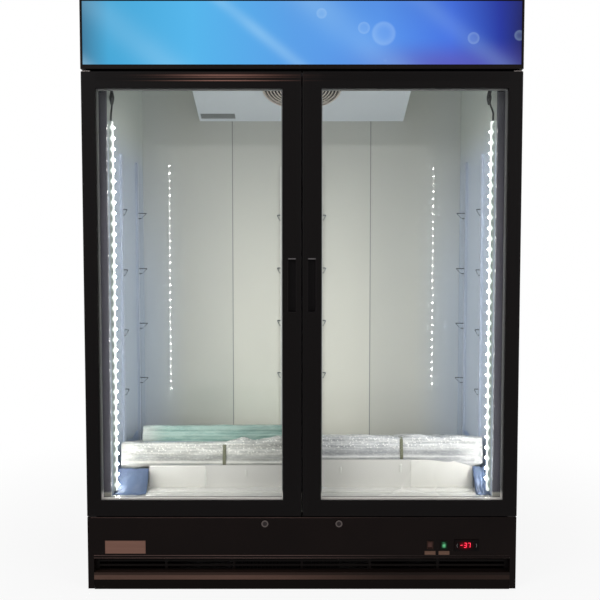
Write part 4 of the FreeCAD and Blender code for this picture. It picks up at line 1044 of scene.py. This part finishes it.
def sleeve(x0, x1, s0, s1, h0, h1, level, seed, puffs, sags, pinch, crumple, bubble):
    """Film round a stack on the slope: a rounded rectangle carried along X and drawn in over both ends. It
    stands off along its normal by a slack, sines of several lengths for the creases, ribs where the shelf
    edges press through the front, rows of small round bubbles, bell-shaped puffs on the top, and bell-shaped
    sags in front where nothing carries it; the tie draws it in."""
    u = np.linspace(0, 1, sleeve_rows)
    v = np.arange(sleeve_columns) / sleeve_columns
    fold = np.clip(np.minimum(u, 1 - u) / end_share, 0, 1)
    closing = end_opening + (1 - end_opening) * np.sqrt(1 - (1 - fold) ** 2)
    run = np.clip((u - end_share) / (1 - 2 * end_share), 0, 1)
    x = x0 - end_gap + (x1 - x0 + 2 * end_gap) * run + end_bulge * (1 - fold) * np.sign(u - 0.5)
    line, facing = section(s1 - s0, h1 - h0, bundle_corner, sleeve_columns)
    depth = line[None, :, 0] * (end_depth + (1 - end_depth) * closing[:, None])
    rise = line[None, :, 1] * closing[:, None]
    crease = creases(np.random.default_rng(seed), u, v)
    up, front = np.clip(facing[:, 1], 0, 1), np.clip(-facing[:, 0], 0, 1)
    down = np.clip(-facing[:, 1], 0, 1)
    slack = (wrap_slack + crease * crumple / 2.2) * (1 - down[None])
    height = line[:, 1] + (h1 - h0) / 2
    behind = line[:, 0] + (s1 - s0) / 2
    slack = slack + edge_press * front[None] * np.cos(2 * math.pi * height / shelf_pitch)[None]
    girth = 2 * (s1 - s0 + h1 - h0)
    lattice_u = np.cos(2 * math.pi * x / bubble_pitch)
    lattice_v = np.cos(2 * math.pi * v * girth / bubble_pitch)
    blown = np.maximum(up, front * (height > 0.5 * (h1 - h0)))
    slack = slack + bubble * np.clip(lattice_u[:, None] * lattice_v[None], 0, 1) * blown[None]
    for place, width, tall, reach in puffs:
        ridge = 0.82 + 0.18 * np.sin(72 * (x - place) + 3 * place)
        lump = tall * bell(x, place, width) * ridge
        slack = slack + lump[:, None] * (up * bell(behind, 0, reach))[None]
    drawn_in = tie_squeeze * bell(x, pinch, tie_spread)[:, None] * (1 - down[None])
    slack = np.maximum(slack, least_slack) - drawn_in
    hang = sum((deep * bell(x, place, width) for place, width, deep in sags), np.zeros(sleeve_rows))
    low_front = (down + 0.35 * front * (height < sag_height)) * bell(behind, 0, sag_reach)
    depth = depth + facing[None, :, 0] * slack + (s0 + s1) / 2 - 0.12 * hang[:, None] * front[None]
    rise = rise + facing[None, :, 1] * slack - hang[:, None] * low_front[None] + (h0 + h1) / 2
    points = laid_back(np.stack([np.broadcast_to(x[:, None], depth.shape), depth, rise], -1), level)
    return grid(points, wrap_columns=True)


def thicken(sheet, thickness, offset):
    """Gives a sheet the thickness of its film."""
    skin = sheet.modifiers.new("film", "SOLIDIFY")
    skin.thickness = thickness
    skin.offset = offset


def film_bundle(name, finish_name, rests, **form):
    """One film sleeve, given the thickness of its film."""
    made = piece(name, sleeve(**form), finish_name)
    thicken(made, wrap_thickness, -1.0)
    areas = np.empty(len(made.data.polygons))
    made.data.polygons.foreach_get("area", areas)
    girth = 2 * (form["s1"] - form["s0"] + form["h1"] - form["h0"])
    float(areas.sum()) / girth
    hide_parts("shelf_wraps")


# Puffs are (x, width, height, reach to the rear), and sags are (x, width, depth)
lower_stack = {"s0": 0.0, "s1": bundle_depth, "h0": 0.0, "h1": bundle_tall, "crumple": 0.0017,
               "bubble": 0.0014}
film_bundle("left_bubble_film", "left_wrap", ["floor_deck"], x0=-0.600, x1=-0.040, level=left_level, seed=11,
            puffs=[(-0.207, 0.036, 0.030, 0.030), (-0.092, 0.050, 0.031, 0.030), (-0.57, 0.03, 0.003, 0.2)],
            sags=[(-0.575, 0.045, 0.012), (-0.505, 0.03, 0.003)], pinch=left_tie, **lower_stack)
film_bundle("right_bubble_film", "right_wrap", ["floor_deck"], x0=0.040, x1=0.600, level=right_level, seed=23,
            puffs=[(0.20, 0.09, 0.007, 0.3), (0.385, 0.04, 0.010, 0.3), (0.52, 0.06, 0.004, 0.3)],
            sags=[(0.57, 0.05, 0.020), (0.48, 0.06, 0.012)], pinch=right_tie, **lower_stack)
film_bundle("upper_teal_film", "teal_wrap", ["left_bubble_film"], x0=-0.537, x1=0.023, level=left_level,
            seed=5, s0=upper_setback, s1=upper_setback + bundle_depth, h0=upper_low, h1=upper_tall,
            puffs=[(-0.2, 0.2, 0.002, 0.3)], sags=[], pinch=no_tie, crumple=0.0012, bubble=0.0)

tie_profile = np.array([(-0.0055, 0.0), (-0.0050, 0.0009), (0.0050, 0.0009), (0.0055, 0.0)])
tie_steps = 120
tie_gap = 0.0026
tie_floor_gap = 0.0002


def tie(x, level):
    """A strap round a bundle: a thin rounded band carried round the bundle's outline, standing off it."""
    line, facing = section(bundle_depth, bundle_tall, bundle_corner, tie_steps)
    off = tie_gap + tie_profile[:, 1]
    along = line[:, 0, None] + facing[:, 0, None] * off + bundle_depth / 2
    rise = line[:, 1, None] + facing[:, 1, None] * off + bundle_tall / 2
    rise = np.maximum(rise, tie_floor_gap + tie_profile[:, 1])
    across = np.broadcast_to(x + tie_profile[:, 0], along.shape)
    return grid(laid_back(np.stack([across, along, rise], -1), level), True, True)


ties = together([tie(left_tie, left_level), tie(right_tie, right_level)])
piece("bundle_ties", ties, "tie_olive")


# Protective film left on the floor and the lower side walls, beside the deck

liner_wall, _, liner_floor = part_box("liner_floor")[1]
film_thickness = 0.0003
film_lift = 0.0008
film_front, film_back = -0.303, -0.2335
floor_grid = (24, 40)
floor_flat_share = 0.2
wall_grid = (50, 24)
wall_gap = 0.0006
wall_foot = 0.003
film_ripple = 0.0005


def floor_film(x0, x1, top, seed):
    """Film on the floor, tucked up in front of the overhanging bundle: flat, then a smooth rise to its top
    edge, with slow ripples along it."""
    draws = np.random.default_rng(seed)
    u, v = np.meshgrid(*(np.linspace(0, 1, count) for count in floor_grid), indexing="ij")
    climb = np.clip((v - floor_flat_share) / (1 - floor_flat_share), 0, 1)
    rise = (top - liner_floor - film_lift) * climb ** 2 * (1.6 - 0.6 * climb)
    ripple = 0.0007 * (1 + np.sin(2 * math.pi * (1.3 * u + 2.7 * v) + draws.uniform(0, 6)))
    ripple += film_ripple * (1 + np.sin(2 * math.pi * (3.1 * u - 4.2 * v) + draws.uniform(0, 6)))
    edge = 0.003 * np.sin(2 * math.pi * (2.4 * u + 0.3 * seed)) * (1 - v)
    y = film_front + edge + (film_back - film_front) * v
    x, z = x0 + (x1 - x0) * u, liner_floor + film_lift + rise + ripple
    return grid(np.stack([x, y, z], -1))


def wall_film(way, y0, y1, tall, seed):
    """Film on a side wall: a sheet that stands off the wall by slow ripples, with an uneven top edge."""
    draws = np.random.default_rng(seed)
    u, v = np.meshgrid(*(np.linspace(0, 1, count) for count in wall_grid), indexing="ij")
    off = wall_gap + film_ripple * (1 + np.sin(2 * math.pi * (2.2 * u + 1.4 * v) + draws.uniform(0, 6)))
    top = tall * (1 + 0.04 * np.sin(2 * math.pi * (1.7 * u + 0.2 * seed)))
    x, y, z = way * (liner_wall - off), y0 + (y1 - y0) * u, liner_floor + wall_foot + top * v
    return grid(np.stack([x, y, z], -1))


def laid_sheet(name, shape, finish_name):
    """A thin sheet of blue film, given the thickness of its film."""
    sheet = piece(name, shape, finish_name, outward=False)
    thicken(sheet, film_thickness, 0.0)


# Each side's floor film from x0 to x1 with its top, and the seeds of the floor's and the walls' ripples
floor_films = (("left", -1, -0.6105, -0.506, 0.349, 3, 4), ("right", 1, 0.566, 0.6105, 0.355, 8, 9))
wall_films = (("front", -0.269, -0.143, 0.092), ("rear", -0.117, 0.119, 0.118))
for side, way, x0, x1, top, floor_seed, wall_seed in floor_films:
    laid_sheet(f"{side}_floor_film", floor_film(x0, x1, top, floor_seed),
               "film_blue_shaded")
    for part, y0, y1, tall in wall_films:
        laid_sheet(f"{side}_{part}_wall_film", wall_film(way, y0, y1, tall, wall_seed),
                   "film_pale")


# Trim on the deck and the evaporator cover

front_inset, front_margin = 0.002, 0.003
front_proud, front_sunk = 0.0025, 0.001
foot_inset, foot_seam = 0.007, 0.0005
foot_reach, foot_gap, foot_thickness = 0.053, 0.0002, 0.003
front_spans = ((deck_low[0] + front_inset, -0.321, left_level),
               (0.362, deck_high[0] - front_inset, right_level))
foot_spans = ((deck_low[0] + foot_inset, -foot_seam), (foot_seam, deck_high[0] - foot_inset))
deck_plates = [plate(x0, x1, deck_low[2] + front_margin, level - front_margin, deck_low[1] - front_proud,
                     deck_low[1] + front_sunk, radius=0.006, bevel=0.0015) for x0, x1, level in front_spans]
foot_plates = [plate(x0, x1, deck_low[1] - foot_reach, deck_low[1] - foot_gap, -foot_thickness, 0.0,
                     radius=0.002, bevel=0.001) for x0, x1 in foot_spans]
lying = [(1, 0, 0), (0, 0, -1), (0, 1, 0)]
deck_plates += [turned(shape, lying, (0, 0, deck_low[2] + foot_gap)) for shape in foot_plates]
piece("deck_front_plates", together(deck_plates), "deck_plate", sharp=35)

# White strips on the deck's front where bright streaks show: (left edge, width, top below the deck's edge,
# length)
deck_strip_rows = [(-0.3235, 0.006, 0.014, 0.058), (-0.1885, 0.005, 0.016, 0.024), (0.127, 0.006, 0.026, 0.020),
               (0.326, 0.007, 0.016, 0.026)]
white_strip_proud, white_strip_sunk = 0.0032, 0.0002


def white_strip(x, wide, drop, tall):
    """A white strip: a thin plate below the deck's edge."""
    top = (left_level if x < 0 else right_level) - drop
    front, back = deck_low[1] - white_strip_proud, deck_low[1] + white_strip_sunk
    return plate(x, x + wide, top - tall, top, front, back, radius=0.0015, bevel=0.0005)


white_strips = together([white_strip(*strip) for strip in deck_strip_rows])
piece("deck_white_strips", white_strips, "strip_white", sharp=35)

# A bare metal strip on the sloping underside of the cover, near its rear left corner
bare_left, bare_right, bare_half = -0.382, -0.252, 0.018
bare_proud, bare_sunk = 0.0012, 0.0004
bare_behind_guard = 0.216
cover_strip = turned(plate(bare_left, bare_right, -bare_half, bare_half, -bare_proud, bare_sunk,
                           radius=0.002, bevel=0.0005), [(1, 0, 0), guard_axis, guard_across],
                     guard_place + guard_across * bare_behind_guard)
piece("cover_strip", cover_strip, "strip_bare", sharp=35)


# Wire clips in the pilasters

def wire_loop(way, wide, tall, wire, around=8):
    """A bent wire clip: a circle carried round a rounded rectangle in the plane of X and Z, drawn in towards
    its foot, which reaches from the pilaster along one way."""
    loop, out = rounded_loop(wide, tall, tall * 0.2, 7)
    lap = full_turn(around)[None, :, None]
    flat = loop[:, None] + wire * np.cos(lap) * out[:, None]
    taper = 0.70 + 0.60 * flat[..., 1:] / tall
    reach = way * (flat[..., :1] + wide / 2) * taper
    depth = np.broadcast_to(wire * np.sin(lap), (len(loop), around, 1))
    return grid(np.concatenate([reach, depth, flat[..., 1:]], -1), True, True)


# Each row of clips: its place along X and Y, the way that it reaches, and its width
clip_rows = [(0.606, -0.130, -1, 0.016), (0.606, 0.132, -1, 0.032), (0.080, 0.260, 1, 0.014),
             (0.009, -0.258, 1, 0.012)]
clip_levels = (0.588, 0.792, 0.996, 1.200)
clip_height, clip_wire = 0.019, 0.0017
clip_shapes = [copies(*wire_loop(half * way, wide, clip_height, clip_wire),
                      np.array([(half * x, y, z) for z in clip_levels]))
               for half in (-1, 1) for x, y, way, wide in clip_rows]
clips = piece("wire_clips", together(clip_shapes), "clip_steel")
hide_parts("shelf_clips")


# Lip at the top of each handle pocket, pale grey for a painted highlight, and the beads and the skirt of the
# base

lip_inset, lip_drop, lip_top = 0.0022, 0.0058, 0.0021
lip_front, lip_back = 0.0004, 0.010
for side, _ in sides:
    handle_low, handle_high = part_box(f"{side}_door_handle")
    lip = plate(handle_low[0] + lip_inset, handle_high[0] - lip_inset, handle_high[2] - lip_drop,
                handle_high[2] - lip_top, handle_low[1] + lip_front, handle_low[1] + lip_back,
                radius=0.0012, bevel=0.0008)
    piece(f"{side}_handle_lip", lip, "lip_highlight_grey", f"{side}_door", sharp=35)

panel_low, panel_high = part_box("base_panel")
# Beads along the panel: half length, how far in front of it, height and radius
bead_rows = [(0.656, 0.0004, panel_low[2] + 0.0016, 0.0012), (0.656, 0.0004, panel_low[2] + 0.0098, 0.0012),
             (0.664, 0.0002, panel_high[2] - 0.0012, 0.0009)]
beads = [bar((-half, panel_low[1] - proud, z), (half, panel_low[1] - proud, z), radius)
         for half, proud, z, radius in bead_rows]
piece("panel_beads", together(beads), "trim_black")
skirt_half, skirt_bottom, skirt_top = 0.6555, 0.001, 0.0318
skirt_front, skirt_back = panel_low[1] + 0.0005, panel_low[1] + 0.0030
skirt = plate(-skirt_half, skirt_half, skirt_bottom, skirt_top, skirt_front, skirt_back, radius=0.0005,
              bevel=0.0004)
piece("kick_skirt", skirt, "skirt_black", sharp=35)


# Door seals with their folded bellows: the profile's places in from the edge, and shares of the seal's depth

seal_corner = 0.012
seal_profile = np.array([
    (0.000, 0.02), (0.000, 0.22), (0.003, 0.30), (0.001, 0.44), (0.004, 0.54), (0.000, 0.66), (0.000, 0.98),
    (0.014, 0.98), (0.016, 0.92), (0.016, 0.70), (0.012, 0.58), (0.015, 0.46), (0.012, 0.34), (0.018, 0.24),
    (0.020, 0.02),
])


def bellows(node):
    """Gasket profile, a dart, two folds and a magnet bulb, carried round the door's back as a rounded
    rectangle."""
    low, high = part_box(node)
    loop, out = rounded_loop(high[0] - low[0], high[2] - low[2], seal_corner, 8)
    spread = loop[:, None] - out[:, None] * seal_profile[None, :, :1]
    x = spread[..., 0] + (low[0] + high[0]) / 2
    y = np.broadcast_to(low[1] + (high[1] - low[1]) * seal_profile[None, :, 1], x.shape)
    z = spread[..., 1] + (low[2] + high[2]) / 2
    return grid(np.stack([x, y, z], -1), True, True)


for side, _ in sides:
    gasket = f"{side}_door_gasket"
    seal = piece(f"{side}_door_seal", bellows(gasket), "gasket_black", f"{side}_door",
                 sharp=50)
    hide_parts(gasket)


# Controller: lit digits behind the window, and a curved mark on each key

digit_pitch = 0.0118
digit_half, digit_side = 0.0035, 0.0037
digit_lean = 0.1
bar_length, bar_width, bar_thickness = 0.0072, 0.0015, 0.0003
window_depth = 0.0010


def segment(x, z, upright, y):
    """One bar of a digit: a long hexagon, given a small thickness, that leans with its height."""
    tip = bar_width / 2
    end = bar_length / 2
    flat = np.array([(-end, 0), (tip - end, -tip), (end - tip, -tip), (end, 0), (end - tip, tip),
                     (tip - end, tip)])
    flat = flat[:, ::-1] if upright else flat
    lean = digit_lean * (z + flat[:, 1])
    ring = np.stack([x + flat[:, 0] + lean, np.zeros(len(flat)), z + flat[:, 1]], -1)
    return ring_solid(np.stack([ring + (0, y, 0), ring + (0, y - bar_thickness, 0)]))


def digits(text, middle, y):
    """A row of seven-bar numerals; each lights the bars that its numeral needs."""
    bars = {"top": (0, 2 * digit_half, False), "middle": (0, 0, False), "bottom": (0, -2 * digit_half, False),
            "upper_left": (-digit_side, digit_half, True), "upper_right": (digit_side, digit_half, True),
            "lower_left": (-digit_side, -digit_half, True), "lower_right": (digit_side, -digit_half, True)}
    lights = {"-": ["middle"], "7": ["top", "upper_right", "lower_right"],
              "3": ["top", "upper_right", "middle", "lower_right", "bottom"]}
    shapes = []
    for index, numeral in enumerate(text):
        shift = (index - (len(text) - 1) / 2) * digit_pitch
        for x, z, upright in (bars[name] for name in lights[numeral]):
            shapes.append(segment(x + shift, z, upright, y))
    points, faces = together(shapes)
    return points + middle, faces


display = digits("-37", (display_x, 0, display_z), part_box("controller")[0][1] + window_depth)
piece("display_digits", display, "digit_red", smooth=False)

mark_radius, mark_back = 0.009, 0.008
mark_turn, mark_steps = 0.7, 14
mark_shift = 0.0025
mark_profile = np.array([(-0.0004, 0), (0.0004, 0), (0.0004, -0.0003), (-0.0004, -0.0003)])


def key_mark(way, x, z, y):
    """A thin arc on a key: a small square section carried along 80 degrees of a circle."""
    turn = np.linspace(-mark_turn, mark_turn, mark_steps)[:, None]
    reach = mark_radius + mark_profile[None, :, 0]
    across = x + way * (reach * np.cos(turn) - mark_back)
    depth = np.broadcast_to(y + mark_profile[None, :, 1], across.shape)
    return ring_solid(np.stack([across, depth, z + reach * np.sin(turn)], -1))


for side, way in sides:
    key_low, key_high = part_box(f"{side}_controller_key")
    key_x, key_z = (key_low[0] + key_high[0]) / 2, (key_low[2] + key_high[2]) / 2
    arc = key_mark(way, key_x + way * mark_shift, key_z, key_low[1])
    piece(f"{side}_key_mark", arc, "mark_white", f"{side}_key", smooth=False)


# Screw heads round the rear panel

screw_profile = [(0.0042, 0.0), (0.0042, 0.0003), (0.0036, 0.0006), (0.0024, 0.0008), (0.0012, 0.0009)]
screw_sides = 12
screw_inset, screw_sunk = 0.02, 0.0002
screw_columns, screw_rows = 5, 7

rear_low, rear_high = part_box("rear_panel")
rear_x = np.linspace(rear_low[0] + screw_inset, rear_high[0] - screw_inset, screw_columns)
rear_z = np.linspace(rear_low[2] + screw_inset, rear_high[2] - screw_inset, screw_rows)
screw_y = rear_high[1] - screw_sunk
screw_places = [(x, screw_y, z) for x in rear_x for z in (rear_z[0], rear_z[-1])]
screw_places += [(x, screw_y, z) for x in (rear_x[0], rear_x[-1]) for z in rear_z[1:-1]]
screw_head = turned(lathe(screw_profile, screw_sides), [(1, 0, 0), (0, 0, -1), (0, 1, 0)])
screws = copies(*screw_head, np.array(screw_places))
piece("rear_panel_screws", screws, "hinge_steel")


# Stage, lights and camera

def pale_floor():
    """Matt pale studio floor with a very faint mottle, which fades to plain white away from the object."""
    def paint(place, axes):
        cloud = grain(place, 1.2, 3.0)
        return {
            "Base Color": cloud.mix((0.82, 0.82, 0.82, 1), (0.88, 0.88, 0.88, 1)),
            "Roughness": 0.8 + 0.1 * cloud,
        }
    material = finish("studio_floor", paint, Specular_IOR_Level=0.1)
    tree = material.node_tree
    place = Field(tree).make("ShaderNodeTexCoord", out="Object")
    reach = place.make("ShaderNodeVectorMath", {0: place}, out="Value", operation="LENGTH")
    veil = rays(place) * reach.smooth(0.75, 2.2, 0.88, 1.0)
    white = place.make("ShaderNodeEmission", {"Color": (1, 1, 1, 1), "Strength": 1.0})
    lit_floor = Field(tree, tree.nodes["Principled BSDF"].outputs[0])
    both = place.make("ShaderNodeMixShader", {0: veil, 1: lit_floor, 2: white})
    tree.links.new(both.socket, tree.nodes["Material Output"].inputs["Surface"])
    return material


def rays(field):
    """1 for rays from the camera, off gloss and through glass, and 0 for rays that carry light."""
    path = [field.make("ShaderNodeLightPath", out=name) for name in
            ("Is Camera Ray", "Is Glossy Ray", "Is Transmission Ray")]
    return path[0].math("MAXIMUM", path[0], path[1].math("MAXIMUM", path[1], path[2]))


floor_rings = np.array([0.4, 1.0, 3.0, 30.0])
floor_steps = 64


def disc():
    """A round floor: rings of growing radius about the origin."""
    turn = full_turn(floor_steps)
    reach = np.broadcast_to(floor_rings[:, None], (len(floor_rings), floor_steps))
    points = np.stack([reach * np.cos(turn), reach * np.sin(turn), 0 * reach], -1).reshape(-1, 3)
    faces = quads(len(floor_rings), floor_steps, wrap_columns=True)[:, ::-1].tolist()
    return points, faces + [list(range(floor_steps))]


points, faces = disc()
floor_mesh = bpy.data.meshes.new("studio_floor")
floor_mesh.from_pydata(points.tolist(), [], faces)
floor_mesh.materials.append(pale_floor())
floor = bpy.data.objects.new("studio_floor", floor_mesh)
scene.collection.objects.link(floor)

world = bpy.data.worlds.new("studio")
scene.world = world
world.use_nodes = True
background = world.node_tree.nodes["Background"]
sky = rays(Field(world.node_tree)).mix((0.45, 0.45, 0.45, 1), (1, 1, 1, 1))
world.node_tree.links.new(sky.socket, background.inputs["Color"])
background.inputs["Strength"].default_value = 1.0


def lamp(name, place, aim, size, power, colour=(1, 1, 1), hidden=False):
    """A rectangular lamp at a place that shines at a point."""
    light = bpy.data.lights.new(name, "AREA")
    light.shape = "RECTANGLE"
    light.size, light.size_y = size
    light.energy = power
    light.color = colour
    made = bpy.data.objects.new(name, light)
    scene.collection.objects.link(made)
    way = np.array(aim, float) - np.array(place, float)
    way /= np.linalg.norm(way)
    made.location = place
    made.rotation_euler = (math.acos(-way[2]), 0, math.atan2(-way[0], way[1]) if abs(way[2]) < 0.999 else 0)
    if hidden:
        made.visible_camera = False
        made.visible_glossy = False


studio_aim, studio_size = (0, 0, 0.8), (2.4, 2.4)
lamp("key_light", (-2.6, -3.6, 3.0), studio_aim, studio_size, 80)
lamp("fill_light", (3.0, -3.4, 2.2), studio_aim, studio_size, 60)

# The light that each strip gives: a lamp behind each door, aimed at the back panels
glow_x, glow_z = 0.34, 0.98
glow_front, glow_aim = -0.300, 0.265
glow_size, glow_power, glow_colour = (0.36, 1.10), 0.83, (0.97, 0.985, 1.0)
for side, way in sides:
    x = way * glow_x
    lamp(f"{side}_strip_light", (x, glow_front, glow_z), (x, glow_aim, glow_z), glow_size, glow_power,
         glow_colour, hidden=True)

camera_place, camera_dip = (-0.006, -2.876, 1.056), 3.19
camera = bpy.data.cameras.new("camera")
camera.sensor_width = 36.0
camera.lens = 48.5
camera.clip_end = 60.0
viewer = bpy.data.objects.new("camera", camera)
viewer.location = camera_place
viewer.rotation_euler = (math.radians(90 - camera_dip), 0, 0)
scene.collection.objects.link(viewer)
scene.camera = viewer
